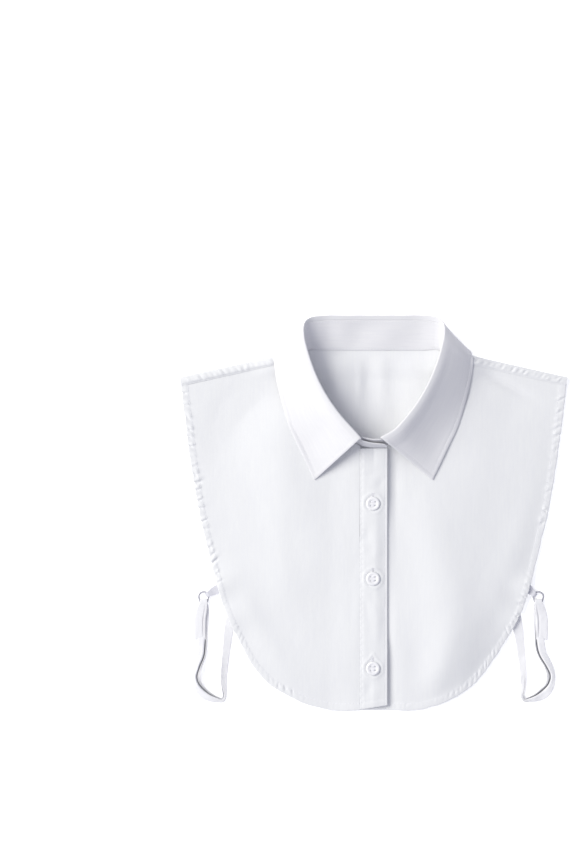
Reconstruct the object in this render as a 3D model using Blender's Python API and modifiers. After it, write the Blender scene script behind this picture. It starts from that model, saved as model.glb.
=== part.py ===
"""A detachable shirt collar (dickey), buttoned up and laid flat on its back.

Metres, +Z up. The garment lies in the XY plane: +Y runs from the hem to the collar, +X to the wearer's left.
The tables are in millimetres. Every cloth piece is an open surface with a Solidify wall.
"""

import math

import bmesh
import bpy
import numpy as np
from mathutils import Matrix

MM = 0.001

# Driving dimensions, in millimetres.
WALL = 1.0  # one layer of cloth
HEM_WALL = 1.6  # cloth turned under twice
HEM_WIDTH = 6.5
HEM_TURN = 5.8  # the wall is thickest from the edge in to here
BAND_WALL = 1.4  # placket, several layers
COLLAR_WALL = 1.2  # fused collar cloth
SEAM_GAP = 0.3  # between neighbouring pieces
LAP_GAP = 0.4  # between the button stand and the placket over it
LAP_START_X = -44.0  # the right front starts to rise here
LAP_EASE = 3.0  # and is up this far before the placket
BACK_RAISE = 1.8  # the back panel's neck lies on the collar leaf
BACK_RAISE_Y = (124.0, 138.0)  # it rises between these
BACK_RAISE_X = (97.0, 118.0)  # and sinks again between these, on both sides
BACK_INSET = 2.4  # the back panel's edge stays inside the fronts'
BACK_INNER_ROWS = (0.0, 8.0, 16.0, 25.0)  # points of the back panel near its neck
BACK_OUTER_START = 45.0
PANEL_REST = 2.0  # underside of the fronts at their hem, over the back panel's hem
PUFF_HEIGHT = 3.6  # how much further the fronts stand off the back panel inside the hem
PUFF_REACH = 42.0
FOLD_FADE = (4.0, 34.0)  # folds grow between these distances from the edge
NECK_LIFT = 2.6  # the collar draws the fronts up along the neckline
NECK_LIFT_REACH = 15.0
SHOULDER_FLAP = 7.9  # the back panel comes over the shoulder this far
FLAP_TURNS = (-60.0, -20.0, 20.0, 60.0)  # degrees round its fold
PLACKET_HALF = 12.8
BAND_TOP_Y = 60.3
HEM_BOTTOM_Y = -187.6
PLACKET_BOTTOM_YS = (-186.8, -182.8)  # the placket's lower end slants up to its free edge
UNDER_BAND_TOP_Y = 59.0
BUTTON_RADIUS = 6.6
BUTTON_HOLE_RADIUS = 0.85
BUTTON_HOLE_OFFSET = 1.7  # of each hole, along x and along y
BUTTON_X = -0.6
BUTTON_YS = (8.3, -62.9, -147.9)
BUTTONHOLE_LENGTH = 16.0
BUTTONHOLE_WIDTH = 1.2
BUTTONHOLE_RISE = 2.2  # each buttonhole's middle lies above its button's
RIBBON_WALL = 1.0
LEFT_STRAP_SHIFT = -4.8  # the left strap's ring lies closer to the front than the right one's
LEFT_STRAP_X = (143.0, 160.0)  # the shift grows between these
LEFT_STRAP_Y = (-155.0, -122.0)  # and between these
WIRE_RADIUS = 0.9
RING_RADIUS = 4.7
RING_BAR_DROP = 4.6
RING_BAR_HALF = 3.85
RING_ARCH_TURN = 0.12  # the arch goes this far past a half circle at each end, in radians
RING_ARCH_POINTS = 15
RING_BAR_POINTS = 4
COLLAR_SEAM_GAP = 0.5  # between stand and leaf, which meet at an angle
STAND_TO_CREST = 5.0  # the stand's top seam lies this far under the roll's crest
ROLL_WIDTH = 2.8
LEAF_SHARES = (0, 0.05, 0.1, 0.14, 0.19, 0.27, 0.38, 0.5, 0.62, 0.74, 0.87, 1.0)
LEAF_BODY = 4  # the leaf's points from this one on may lie on a front
LEAF_REST_GAP = 0.5
LEAF_REST_Y = (-3.5, 1.5)  # it lies on a front between these, from the shoulder fold forward
LEAF_REST_Z = (3.5, 5.5)
FLOOR_GAP = 0.02
EDGE_SAMPLES = 240
FRONT_LINES = 27
FRONT_POINTS = 10
BACK_LINES = 37
BACK_POINTS = 6
BAND_LINES = 25
BAND_POINTS = 5
COLLAR_LINES = 49
STAND_POINTS = 5
BUTTON_SIDES = 24
RIM_SAMPLES = 16
CUTTER_HEIGHT = 40.0

# The hem and armhole edge of a front, from the placket round to the shoulder seam.
HEM = (
    # x, y
    (12.8, -187.6),
    (43.0, -187.0),
    (63.0, -181.8),
    (82.0, -173.4),
    (100.3, -161.4),
    (115.0, -144.2),
    (127.2, -121.6),
    (140.0, -94.5),
    (149.0, -66.0),
    (158.0, -30.0),
    (166.0, 4.0),
    (173.0, 45.0),
    (178.8, 88.0),
    (182.6, 119.2),
)
# The garment's left side is drawn in a little at the bottom curve, the back panel with the front.
LEFT_DRAW = (112.0, -145.0, 34.0, -2.9, 2.5)  # x, y, reach, move_x, move_y
SHOULDER_TIP = (183.8, 127.4)
NECK_POINT = (67.0, 153.6)

# The neckline of a front, from the placket to the shoulder seam.
NECKLINE = (
    # x, y
    (12.8, 62.6),
    (25.7, 70.5),
    (38.0, 84.5),
    (49.4, 104.0),
    (58.4, 125.0),
    (65.2, 145.6),
)

# Half of a button's section: from the middle of its dished face, over the rim, to the middle of its back.
BUTTON_PROFILE = (
    # radius, height
    (0.0, 1.7),
    (3.7, 1.7),
    (4.6, 2.4),
    (6.1, 2.4),
    (6.6, 1.75),
    (6.6, 0.65),
    (5.8, 0.0),
    (0.0, 0.0),
)

# Half of the collar, a row for each section from the front to the centre back.
# roll: the crest where the leaf turns over. foot: where the stand is sewn on, just inside the neckline.
# edge: the leaf's outer edge. fall: drop just past the crest. belly: how far the leaf bows above a straight line.
COLLAR = (
    # roll_x, roll_y, roll_z, foot_x, foot_y, foot_z, edge_x, edge_y, edge_z, fall, belly
    (12.8, 70.8, 29.0, 12.8, 63.9, 8.6, 55.8, 31.2, 7.6, 1.2, -2.6),
    (20.5, 79.4, 29.6, 21.8, 69.0, 8.6, 61.4, 42.6, 7.6, 1.2, -3.0),
    (28.8, 88.4, 30.0, 31.6, 78.0, 8.6, 68.4, 57.4, 7.6, 1.3, -3.0),
    (40.2, 103.2, 30.2, 42.4, 93.0, 8.6, 78.8, 79.6, 7.6, 1.4, -2.4),
    (50.6, 120.6, 29.8, 50.8, 108.6, 8.4, 86.6, 103.6, 7.6, 1.5, -1.2),
    (58.4, 138.6, 28.8, 57.4, 124.6, 7.6, 91.8, 125.2, 7.0, 1.6, 0.4),
    (63.6, 155.0, 27.2, 61.8, 138.6, 6.6, 93.8, 140.0, 6.8, 1.7, 1.4),
    (66.4, 168.6, 25.0, 64.2, 147.6, 5.2, 93.4, 147.8, 5.8, 2.0, 1.6),
    (66.2, 177.6, 21.8, 64.6, 151.6, 4.6, 90.8, 152.8, 2.6, 2.8, 0.0),
    (64.6, 181.2, 19.6, 63.4, 153.8, 4.3, 86.0, 152.6, 0.8, 3.2, -2.0),
    (61.4, 183.8, 17.4, 59.6, 154.7, 3.4, 79.0, 150.6, 0.6, 3.6, -3.6),
    (50.6, 186.0, 14.2, 50.0, 154.8, 2.6, 61.0, 146.4, 0.6, 4.4, -5.0),
    (26.0, 186.6, 13.0, 25.0, 154.6, 2.4, 31.0, 143.8, 0.6, 4.8, -5.0),
    (0.0, 186.6, 12.6, 0.0, 154.6, 2.4, 0.0, 143.2, 0.6, 4.8, -5.0),
)
ROLL, FOOT, EDGE = slice(0, 3), slice(3, 6), slice(6, 9)
FALL, BELLY = 9, 10
LEFT_ROLL_START = (6.6, 71.2, 28.4)  # the left leaf starts nearer the centre front

# The stand runs on past each leaf across the placket. The right end lies outside the left one.
STAND_OVER_END = (
    # foot_x, foot_y, foot_z, top_x, top_y, top_z
    (12.4, 61.7, 12.4, 12.4, 62.9, 17.6),
    (10.6, 61.6, 10.8, 10.9, 64.2, 21.4),
    (6.8, 61.5, 10.6, 6.8, 65.0, 22.6),
    (0.0, 61.5, 10.6, 0.0, 65.6, 23.2),
    (-6.6, 62.0, 10.6, -6.6, 66.8, 23.8),
)
STAND_UNDER_END = (
    (-12.4, 66.0, 10.4, -12.4, 71.6, 19.4),
    (-10.6, 65.4, 9.2, -10.8, 71.2, 22.6),
    (-6.8, 64.5, 8.8, -6.8, 70.2, 23.8),
    (0.0, 63.6, 8.6, 0.0, 69.2, 24.4),
    (6.6, 63.4, 8.6, 6.6, 69.4, 24.6),
)

# Broad soft folds of the fronts: a ridge is higher, a trough is lower.
FOLDS = (
    # x, y, turn_deg, length, width, height
    (-118.0, 96.0, 38.0, 60.0, 17.0, -2.2),
    (-128.0, 20.0, 84.0, 90.0, 20.0, 1.2),
    (-72.0, -40.0, 96.0, 110.0, 20.0, -1.0),
    (-50.0, -120.0, 80.0, 70.0, 22.0, 1.0),
    (112.0, 118.0, -26.0, 50.0, 9.0, -1.8),
    (88.0, 30.0, 84.0, 100.0, 15.0, -1.6),
    (48.0, -40.0, 92.0, 130.0, 18.0, 1.4),
    (106.0, -92.0, 62.0, 70.0, 22.0, -1.6),
    (68.0, -128.0, 74.0, 66.0, 14.0, 1.6),
)

# The elastic strap, from the end of its stitched flap, over the ring's bar and round to the back panel.
# under: height of its lower side. lean: how far the ribbon's side towards the loop stands up.
STRAP = (
    # x, y, under, width, lean_deg
    (164.6, -120.5, 1.3, 10.0, 0),
    (165.0, -112.0, 1.4, 10.2, 0),
    (164.8, -102.0, 1.7, 10.2, 0),
    (163.4, -94.0, 2.5, 9.2, 0),
    (162.0, -88.4, 3.5, 7.4, 0),
    (161.3, -85.4, 3.8, 6.2, 0),
    (161.3, -83.4, 3.4, 6.2, 0),
    (161.3, -82.3, 1.8, 6.2, 0),
    (161.3, -83.4, 0.5, 6.2, 0),
    (161.2, -85.4, 0.0, 6.2, 0),
    (160.9, -89.0, 0.0, 7.8, 0),
    (161.0, -97.0, 0.0, 9.2, 0),
    (162.0, -110.0, 0.0, 9.6, 0),
    (162.6, -124.0, 0.0, 9.6, 0),
    (164.3, -135.0, 0.0, 9.6, 18),
    (167.6, -147.0, 0.0, 9.6, 44),
    (169.4, -157.5, 0.0, 9.6, 52),
    (167.6, -167.0, 0.0, 9.6, 42),
    (161.6, -173.4, 0.0, 9.6, 28),
    (153.4, -176.4, 0.0, 9.6, 34),
    (146.8, -175.2, 0.0, 9.4, 52),
    (143.6, -168.6, 0.0, 9.4, 60),
    (143.0, -159.0, 0.0, 9.6, 54),
    (143.2, -148.0, 0.0, 9.6, 42),
    (142.8, -137.0, 0.0, 9.6, 30),
    (141.4, -125.0, 0.4, 9.6, 14),
    (139.2, -112.5, 1.4, 9.6, 2),
    (136.0, -100.0, 2.1, 9.6, 0),
    (132.4, -88.0, 2.1, 9.6, 0),
)
RING_CENTRE = (161.3, -80.2, 2.3)

# The satin tab that holds the ring: from under the front's hem, round the ring's wire and back under the hem.
TAB = (
    # x, y, under, width, lean_deg
    (143.4, -70.2, 3.3, 8.0, 0),
    (148.2, -72.8, 3.3, 7.8, 0),
    (152.8, -75.4, 3.3, 6.6, 0),
    (155.3, -76.8, 3.7, 5.0, 0),
    (157.2, -77.9, 3.9, 4.2, 0),
    (158.7, -78.7, 3.2, 4.0, 0),
    (159.3, -79.1, 1.8, 4.0, 0),
    (158.7, -78.7, 0.5, 4.0, 0),
    (157.2, -77.9, 0.0, 4.2, 0),
    (155.3, -76.8, 0.1, 5.0, 0),
    (151.0, -74.4, 1.0, 7.0, 0),
    (145.4, -71.2, 1.9, 8.0, 0),
    (140.0, -68.1, 2.0, 8.0, 0),
)
STRAP_LIFTS = (
    # x, y, reach, height: where a front is raised by what is sewn under it
    (145.0, -71.0, 13.0, 3.2),
    (135.5, -100.0, 15.0, 2.4),
)


def clear_scene():
    for obj in list(bpy.data.objects):
        bpy.data.objects.remove(obj)


def new_collection(name):
    collection = bpy.data.collections.new(name)
    bpy.context.scene.collection.children.link(collection)
    return collection


def new_material(name, colour, roughness):
    material = bpy.data.materials.new(name)
    material.use_nodes = True
    surface = material.node_tree.nodes["Principled BSDF"]
    surface.inputs["Base Color"].default_value = (*colour, 1.0)
    surface.inputs["Roughness"].default_value = roughness
    return material


def knots_of(points):
    """How far along its line each point lies, from 0 to 1."""
    steps = np.linalg.norm(np.diff(np.asarray(points)[:, :3], axis=0), axis=1)
    return np.concatenate([[0.0], np.cumsum(steps)]) / steps.sum()


def through(points, shares):
    """Points of a smooth curve through the given ones, at shares (0 to 1) of its length."""
    points = np.asarray(points, float)
    shares = np.asarray(shares, float)
    knots = knots_of(points)
    slopes = np.gradient(points, knots, axis=0)
    k = np.clip(np.searchsorted(knots, shares, side="right") - 1, 0, len(points) - 2)
    span = (knots[k + 1] - knots[k])[:, None]
    t = (shares - knots[k])[:, None] / span
    from_start = (2 * t**3 - 3 * t**2 + 1) * points[k] + (t**3 - 2 * t**2 + t) * span * slopes[k]
    from_end = (3 * t**2 - 2 * t**3) * points[k + 1] + (t**3 - t**2) * span * slopes[k + 1]
    return from_start + from_end


def smooth_step(value, low, high):
    t = np.clip((np.asarray(value, float) - low) / (high - low), 0.0, 1.0)
    return t * t * (3 - 2 * t)


def distance_to(line, x, y):
    """Distance in plan from each point to the nearest sample of a line."""
    across = np.asarray(x, float)[..., None] - line[:, 0]
    along = np.asarray(y, float)[..., None] - line[:, 1]
    return np.sqrt(across**2 + along**2).min(axis=-1)


EVENLY = np.linspace(0, 1, EDGE_SAMPLES)
HEM_LINE = through(HEM, EVENLY)
NECK_LINE = through(NECKLINE, EVENLY)
SHOULDER_LINE = through((NECKLINE[-1], HEM[-1]), EVENLY)


def fold_height(x, y):
    """The sum of the broad folds: each is a long bell across its own line."""
    height = np.zeros(np.shape(x))
    for fold_x, fold_y, turn, length, width, rise in FOLDS:
        angle = math.radians(turn)
        along = (x - fold_x) * math.cos(angle) + (y - fold_y) * math.sin(angle)
        across = (y - fold_y) * math.cos(angle) - (x - fold_x) * math.sin(angle)
        height += rise * np.exp(-2 * (along / length) ** 2 - (across / width) ** 2)
    return height


def front_underside(x, y):
    """Height of a front's underside above the floor, before one front overlaps the other."""
    x, y = np.asarray(x, float), np.asarray(y, float)
    away = np.abs(x)
    to_edge = np.minimum(distance_to(HEM_LINE, away, y), distance_to(SHOULDER_LINE, away, y))
    height = PANEL_REST + PUFF_HEIGHT * smooth_step(to_edge, 0.0, PUFF_REACH)
    height += back_underside(x, y) * (1 - smooth_step(to_edge, 0.0, PUFF_REACH))
    height += NECK_LIFT * np.exp(-((distance_to(NECK_LINE, away, y) / NECK_LIFT_REACH) ** 2))
    height += fold_height(x, y) * smooth_step(to_edge, *FOLD_FADE)
    for lift_x, lift_y, reach, rise in STRAP_LIFTS:
        height += rise * np.exp(-((away - lift_x) ** 2 + (y - lift_y) ** 2) / reach**2)
    return height


def overlap_lift(x):
    """The right front rises over the left front's button band."""
    return (BAND_WALL + LAP_GAP) * smooth_step(x, LAP_START_X, -PLACKET_HALF - LAP_EASE) * (x < 0)


def draw_in(x, y):
    """Moves points of the garment's left side in plan, where it is drawn in."""
    centre_x, centre_y, reach, move_x, move_y = LEFT_DRAW
    share = np.exp(-((x - centre_x) ** 2 + (y - centre_y) ** 2) / reach**2)
    return x + move_x * share, y + move_y * share


def cloth(name, grid, wall, material, collection, offset=0.0, walls=None):
    """A sheet through a grid of points, in millimetres, given a wall. walls sets the wall of each point."""
    grid = np.asarray(grid, float)
    rows, columns, _ = grid.shape
    shape = bmesh.new()
    points = [shape.verts.new(point * MM) for point in grid.reshape(-1, 3)]
    for row in range(rows - 1):
        for column in range(columns - 1):
            first = row * columns + column
            corners = (first, first + 1, first + columns + 1, first + columns)
            shape.faces.new([points[corner] for corner in corners])
    mesh = bpy.data.meshes.new(name)
    shape.to_mesh(mesh)
    shape.free()
    mesh.shade_smooth()
    mesh.materials.append(material)
    obj = bpy.data.objects.new(name, mesh)
    collection.objects.link(obj)
    solid = obj.modifiers.new("Wall", "SOLIDIFY")
    solid.thickness = wall * MM
    solid.offset = offset
    solid.use_even_offset = True
    solid.use_quality_normals = True
    if walls is not None:
        solid.thickness = float(np.max(walls)) * MM
        group = obj.vertex_groups.new(name="wall")
        for index, share in enumerate((walls / np.max(walls)).reshape(-1)):
            group.add([index], float(share), "REPLACE")
        solid.vertex_group = "wall"
    return obj


def hem_shares(length, plain):
    """Shares of a line from the neck to the hem: the plain cloth's, then the turned hem's two edges."""
    return np.concatenate([plain, [length - HEM_TURN, length]]) / length


def hem_walls(rows, columns):
    walls = np.full((rows, columns), WALL)
    walls[:, -2:] = HEM_WALL
    return walls


def make_front(name, side, material, collection):
    """A front, from its placket seam round to the shoulder seam. side is -1 for the wearer's right."""
    spread = np.linspace(0, 1, FRONT_LINES)
    lines = []
    for neck, hem in zip(through(NECKLINE, spread), through(HEM, spread)):
        length = np.linalg.norm(hem - neck)
        shares = hem_shares(length, np.linspace(0.0, length - HEM_WIDTH, FRONT_POINTS))
        lines.append(neck + shares[:, None] * (hem - neck))
    plan = np.array(lines)
    plan[0, :, 0] += SEAM_GAP / 2
    x, y = plan[..., 0] * side, plan[..., 1]
    grid = np.dstack([*draw_in(x, y), front_underside(x, y) + overlap_lift(x)])
    if side < 0:
        grid = grid[::-1]
    return cloth(name, grid, WALL, material, collection, 1.0, hem_walls(*grid.shape[:2]))


def back_underside(x, y):
    """The back panel lies on the floor, apart from its neck, which lies on the collar leaf."""
    near_neck = smooth_step(y, *BACK_RAISE_Y) * (1 - smooth_step(np.abs(x), *BACK_RAISE_X))
    return BACK_RAISE * near_neck


def shoulder_flap(edge):
    """From the back panel's edge along the shoulder, the fold and then the flap that is sewn to the front."""
    tip, neck = np.array(SHOULDER_TIP), np.array(NECK_POINT)
    along = (tip - neck) / np.linalg.norm(tip - neck)
    forward = np.array([along[1], -along[0]])
    lines = []
    for x, y, low in edge:
        seam = np.array([x, y]) + forward * (SHOULDER_FLAP - SEAM_GAP)
        top = float(front_underside(*seam)) + WALL
        radius = (top - low) / 2
        line = []
        for angle in FLAP_TURNS:
            out = forward * radius * math.cos(math.radians(angle))
            line.append((*(np.array([x, y]) - out), low + radius * (1 + math.sin(math.radians(angle)))))
        for reach in (0.0, SHOULDER_FLAP / 2, SHOULDER_FLAP - SEAM_GAP):
            line.append((*(np.array([x, y]) + forward * reach), top))
        lines.append(line)
    return np.array(lines).transpose(1, 0, 2)


def make_back(material, collection):
    """The back panel: a fan from the neckline to the hem, with a flap over each shoulder."""
    outline = [(x - BACK_INSET, y + 1.5 * BACK_INSET) for x, y in HEM[:-1]] + [SHOULDER_TIP]
    hem = through([(-x, y) for x, y in outline[::-1]] + outline, np.linspace(0, 1, BACK_LINES))
    neck_x, neck_y = NECK_POINT
    lines = []
    for x, edge in zip(np.linspace(-neck_x, neck_x, BACK_LINES), hem):
        neck = np.array([x, neck_y])
        length = np.linalg.norm(edge - neck)
        outer = np.linspace(BACK_OUTER_START, length - HEM_WIDTH, BACK_POINTS)
        shares = hem_shares(length, np.concatenate([BACK_INNER_ROWS, outer]))
        lines.append(neck + shares[:, None] * (edge - neck))
    plan = np.array(lines)
    x, y = plan[..., 0], plan[..., 1]
    main = np.dstack([*draw_in(x, y), back_underside(x, y)])
    left = shoulder_flap(main[-1])
    right = shoulder_flap(main[0] * (-1, 1, 1)) * (-1, 1, 1)
    walls = hem_walls(*main.shape[:2])
    plain = np.full(left.shape[:2], WALL)
    grid = np.concatenate([right[::-1], main, left])
    walls = np.concatenate([plain, walls, plain])
    return cloth("back_panel", grid, WALL, material, collection, 1.0, walls)


def make_band(name, top_y, bottom_ys, lift, material, collection):
    """A band down the centre front, as wide as the placket, on the height of the fronts plus a lift."""
    reach = PLACKET_HALF - SEAM_GAP / 2
    x = np.tile(np.linspace(-reach, reach, BAND_POINTS), (BAND_LINES, 1))
    y = np.linspace(np.full(BAND_POINTS, top_y), np.linspace(*bottom_ys, BAND_POINTS), BAND_LINES)
    grid = np.stack([x, y, front_underside(x, y) + lift], axis=-1)
    return cloth(name, grid, BAND_WALL, material, collection, -1.0)


def make_button(number, y, lift, material, collection, cutters):
    """A dished four-hole button with a rounded rim, lying on the placket."""
    around = np.linspace(0, 2 * math.pi, RIM_SAMPLES)
    x_rim = BUTTON_X + BUTTON_RADIUS * np.cos(around)
    y_rim = y + BUTTON_RADIUS * np.sin(around)
    seat = float(np.max(front_underside(x_rim, y_rim))) + lift + BAND_WALL + SEAM_GAP
    mesh = bpy.data.meshes.new(f"button_{number}")
    edges = [(index, index + 1) for index in range(len(BUTTON_PROFILE) - 1)]
    mesh.from_pydata([(radius * MM, 0, height * MM) for radius, height in BUTTON_PROFILE], edges, [])
    mesh.materials.append(material)
    button = bpy.data.objects.new(f"button_{number}", mesh)
    collection.objects.link(button)
    button.location = (BUTTON_X * MM, y * MM, seat * MM)
    turn = button.modifiers.new("Turn", "SCREW")
    turn.steps = turn.render_steps = BUTTON_SIDES
    turn.use_merge_vertices = True
    turn.merge_threshold = 1e-5
    for hole, (side_x, side_y) in enumerate(((1, 1), (-1, 1), (-1, -1), (1, -1)), start=1):
        bpy.ops.mesh.primitive_cylinder_add(vertices=8, radius=BUTTON_HOLE_RADIUS * MM, depth=CUTTER_HEIGHT * MM)
        cutter = bpy.context.object
        cutter.name = f"button_{number}_hole_{hole}"
        hole_x = BUTTON_X + side_x * BUTTON_HOLE_OFFSET
        hole_y = y + side_y * BUTTON_HOLE_OFFSET
        cutter.location = (hole_x * MM, hole_y * MM, seat * MM)
        cut(button, cutter, cutters)
    return button


def cut(piece, cutter, cutters):
    for owner in list(cutter.users_collection):
        owner.objects.unlink(cutter)
    cutters.objects.link(cutter)
    cutter.hide_render = True
    cutter.display_type = "WIRE"
    opening = piece.modifiers.new(f"Cut {cutter.name}", "BOOLEAN")
    opening.operation = "DIFFERENCE"
    opening.object = cutter


def cut_buttonholes(band, cutters):
    """Upright slots through the placket, one under each button."""
    for number, y in enumerate(BUTTON_YS, start=1):
        bpy.ops.mesh.primitive_cube_add(size=1)
        cutter = bpy.context.object
        cutter.name = f"buttonhole_{number}"
        size = Matrix.Diagonal((BUTTONHOLE_WIDTH * MM, BUTTONHOLE_LENGTH * MM, CUTTER_HEIGHT * MM, 1.0))
        cutter.data.transform(size)
        cutter.location = (BUTTON_X * MM, (y + BUTTONHOLE_RISE) * MM, 0.0)
        cut(band, cutter, cutters)


def collar_sections(count):
    """The collar's table as count smooth sections, from the left front round the back to the right front."""
    half = np.array(COLLAR)
    mirror = np.array([-1, 1, 1] * 3 + [1, 1])
    left = half.copy()
    left[0, ROLL] = LEFT_ROLL_START
    rows = np.concatenate([left, (half * mirror)[-2::-1]])
    return through(rows, np.linspace(0, 1, count))


def seam_at(section, gap=0.0):
    """The point of a section where leaf meets stand, moved gap further up the stand."""
    roll, foot = section[ROLL], section[FOOT]
    down = (foot - roll) / np.linalg.norm(foot - roll)
    return roll + down * (STAND_TO_CREST - gap)


def make_stand(sections, material, collection):
    """The collar stand: an upright strip round the neckline, with its two ends lapped at the centre front."""
    rows = []
    for foot_x, foot_y, foot_z, top_x, top_y, top_z in STAND_UNDER_END:
        rows.append(((foot_x, foot_y, foot_z), (top_x, top_y, top_z)))
    for section in sections:
        lift = float(overlap_lift(section[0]))
        rows.append((section[FOOT] + (0, 0, lift), seam_at(section)))
    for foot_x, foot_y, foot_z, top_x, top_y, top_z in STAND_OVER_END[::-1]:
        rows.append(((foot_x, foot_y, foot_z), (top_x, top_y, top_z)))
    up = np.linspace(0, 1, STAND_POINTS)[:, None]
    grid = [np.array(foot) + up * (np.array(top) - np.array(foot)) for foot, top in rows]
    return cloth("collar_stand", grid, COLLAR_WALL, material, collection)


def leaf_rest(x, y, edge_z):
    """The lowest height of the leaf's middle surface where it lies on the fronts and the shoulder flaps."""
    neck, tip = np.array(NECK_POINT), np.array(SHOULDER_TIP)
    fold_y = neck[1] + (np.abs(x) - neck[0]) * (tip[1] - neck[1]) / (tip[0] - neck[0])
    on_front = smooth_step(fold_y - y, *LEAF_REST_Y) * smooth_step(edge_z, *LEAF_REST_Z)
    top = front_underside(x, y) + overlap_lift(x) + WALL
    return on_front * (top + LEAF_REST_GAP + COLLAR_WALL / 2)


def make_leaf(sections, material, collection):
    """The collar leaf: over the roll and down onto the fronts, and under the back panel behind the neck."""
    grid = []
    for section in sections:
        roll, edge = section[ROLL], section[EDGE]
        out = edge[:2] - roll[:2]
        out /= np.linalg.norm(out)
        past = np.array([*(roll[:2] + out * ROLL_WIDTH), roll[2] - section[FALL]])
        line = [seam_at(section, COLLAR_SEAM_GAP), roll, past]
        for share in (0.25, 0.5, 0.75):
            bow = 4 * share * (1 - share) * section[BELLY]
            line.append(past + share * (edge - past) + np.array([0, 0, bow]))
        line.append(edge)
        line = through(line, LEAF_SHARES)
        outer = line[LEAF_BODY:]
        outer[:, 2] = np.maximum(outer[:, 2], leaf_rest(outer[:, 0], outer[:, 1], edge[2]))
        outer[:, 2] = np.maximum(outer[:, 2], COLLAR_WALL / 2 + FLOOR_GAP)
        grid.append(line)
    return cloth("collar_leaf", grid, COLLAR_WALL, material, collection)


def strap_shift(x, y, side):
    return LEFT_STRAP_SHIFT * smooth_step(x, *LEFT_STRAP_X) * smooth_step(y, *LEFT_STRAP_Y) * (side > 0)


def make_ribbon(name, table, side, material, collection):
    """A flat webbing along a table of places, widths and leans, with a point more between each two rows."""
    knots = knots_of(table)
    rows = through(table, np.sort(np.concatenate([knots, (knots[1:] + knots[:-1]) / 2])))
    lean = np.radians(rows[:, 4])
    half = rows[:, 3] / 2
    upright = half * np.abs(np.sin(lean)) + RIBBON_WALL / 2 * np.cos(lean)
    x = rows[:, 0] + strap_shift(rows[:, 0], rows[:, 1], side)
    centres = np.column_stack([x, rows[:, 1], np.maximum(rows[:, 2], 0) + upright])
    tangents = np.gradient(centres, axis=0)
    tangents /= np.linalg.norm(tangents, axis=1)[:, None]
    across = np.cross(tangents[0], (0, 0, 1))
    grid = []
    for centre, tangent, reach, angle in zip(centres, tangents, half, lean):
        level = np.cross(tangent, (0, 0, 1))
        if np.linalg.norm(level) > 0.5:  # the ribbon keeps its side where it turns over the ring
            across = level / np.linalg.norm(level) * math.copysign(1, level.dot(across))
        normal = np.cross(across, tangent)
        leaned = math.cos(angle) * across + math.sin(angle) * normal
        grid.append([centre + leaned * reach * share for share in (-1, 0, 1)])
    grid = np.array(grid) * (side, 1, 1)
    return cloth(name, grid, RIBBON_WALL, material, collection)


def make_ring(name, side, material, collection):
    """A D ring: a straight bar below for the elastic and an arch above for the tab."""
    x, y, z = RING_CENTRE
    x += float(strap_shift(x, y, side))
    angles = np.linspace(-RING_ARCH_TURN, math.pi + RING_ARCH_TURN, RING_ARCH_POINTS)
    arch = [(x + RING_RADIUS * math.cos(a), y + RING_RADIUS * math.sin(a)) for a in angles]
    bar_xs = np.linspace(-RING_BAR_HALF, RING_BAR_HALF, RING_BAR_POINTS)
    bar = [(x + bar_x, y - RING_BAR_DROP) for bar_x in bar_xs]
    route = arch + bar
    curve = bpy.data.curves.new(name, "CURVE")
    curve.dimensions = "3D"
    curve.bevel_depth = WIRE_RADIUS * MM
    curve.bevel_resolution = 2
    curve.use_fill_caps = True
    spline = curve.splines.new("POLY")
    spline.points.add(len(route) - 1)
    for point, (point_x, point_y) in zip(spline.points, route):
        point.co = (side * point_x * MM, point_y * MM, z * MM, 1.0)
    spline.use_cyclic_u = True
    curve.materials.append(material)
    ring = bpy.data.objects.new(name, curve)
    collection.objects.link(ring)
    return ring


def main():
    clear_scene()
    garment = new_collection("detachable_collar")
    cutters = new_collection("cutters")
    cutters.hide_render = True
    poplin = new_material("White cotton poplin", (0.88, 0.88, 0.90), 0.85)
    fused = new_material("White fused poplin", (0.90, 0.90, 0.92), 0.80)
    plastic = new_material("White four-hole plastic", (0.90, 0.90, 0.90), 0.30)
    elastic = new_material("White elastic webbing", (0.86, 0.86, 0.89), 0.75)
    satin = new_material("White satin ribbon", (0.86, 0.86, 0.88), 0.40)
    coated = new_material("White coated ring wire", (0.80, 0.80, 0.82), 0.35)
    lift = BAND_WALL + LAP_GAP

    make_back(poplin, garment)
    make_front("front_left", 1, poplin, garment)
    make_front("front_right", -1, poplin, garment)
    make_band("button_stand", UNDER_BAND_TOP_Y, (HEM_BOTTOM_Y, HEM_BOTTOM_Y), 0.0, poplin, garment)
    placket = make_band("placket", BAND_TOP_Y, PLACKET_BOTTOM_YS, lift, poplin, garment)
    cut_buttonholes(placket, cutters)
    for number, y in enumerate(BUTTON_YS, start=1):
        make_button(number, y, lift, plastic, garment, cutters)
    sections = collar_sections(COLLAR_LINES)
    make_stand(sections, fused, garment)
    make_leaf(sections, fused, garment)
    for label, side in (("left", 1), ("right", -1)):
        make_ribbon(f"elastic_{label}", STRAP, side, elastic, garment)
        make_ribbon(f"tab_{label}", TAB, side, satin, garment)
        make_ring(f"ring_{label}", side, coated, garment)


main()
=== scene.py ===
import math

import bmesh
import bpy
import numpy as np
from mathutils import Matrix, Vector, noise


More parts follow.
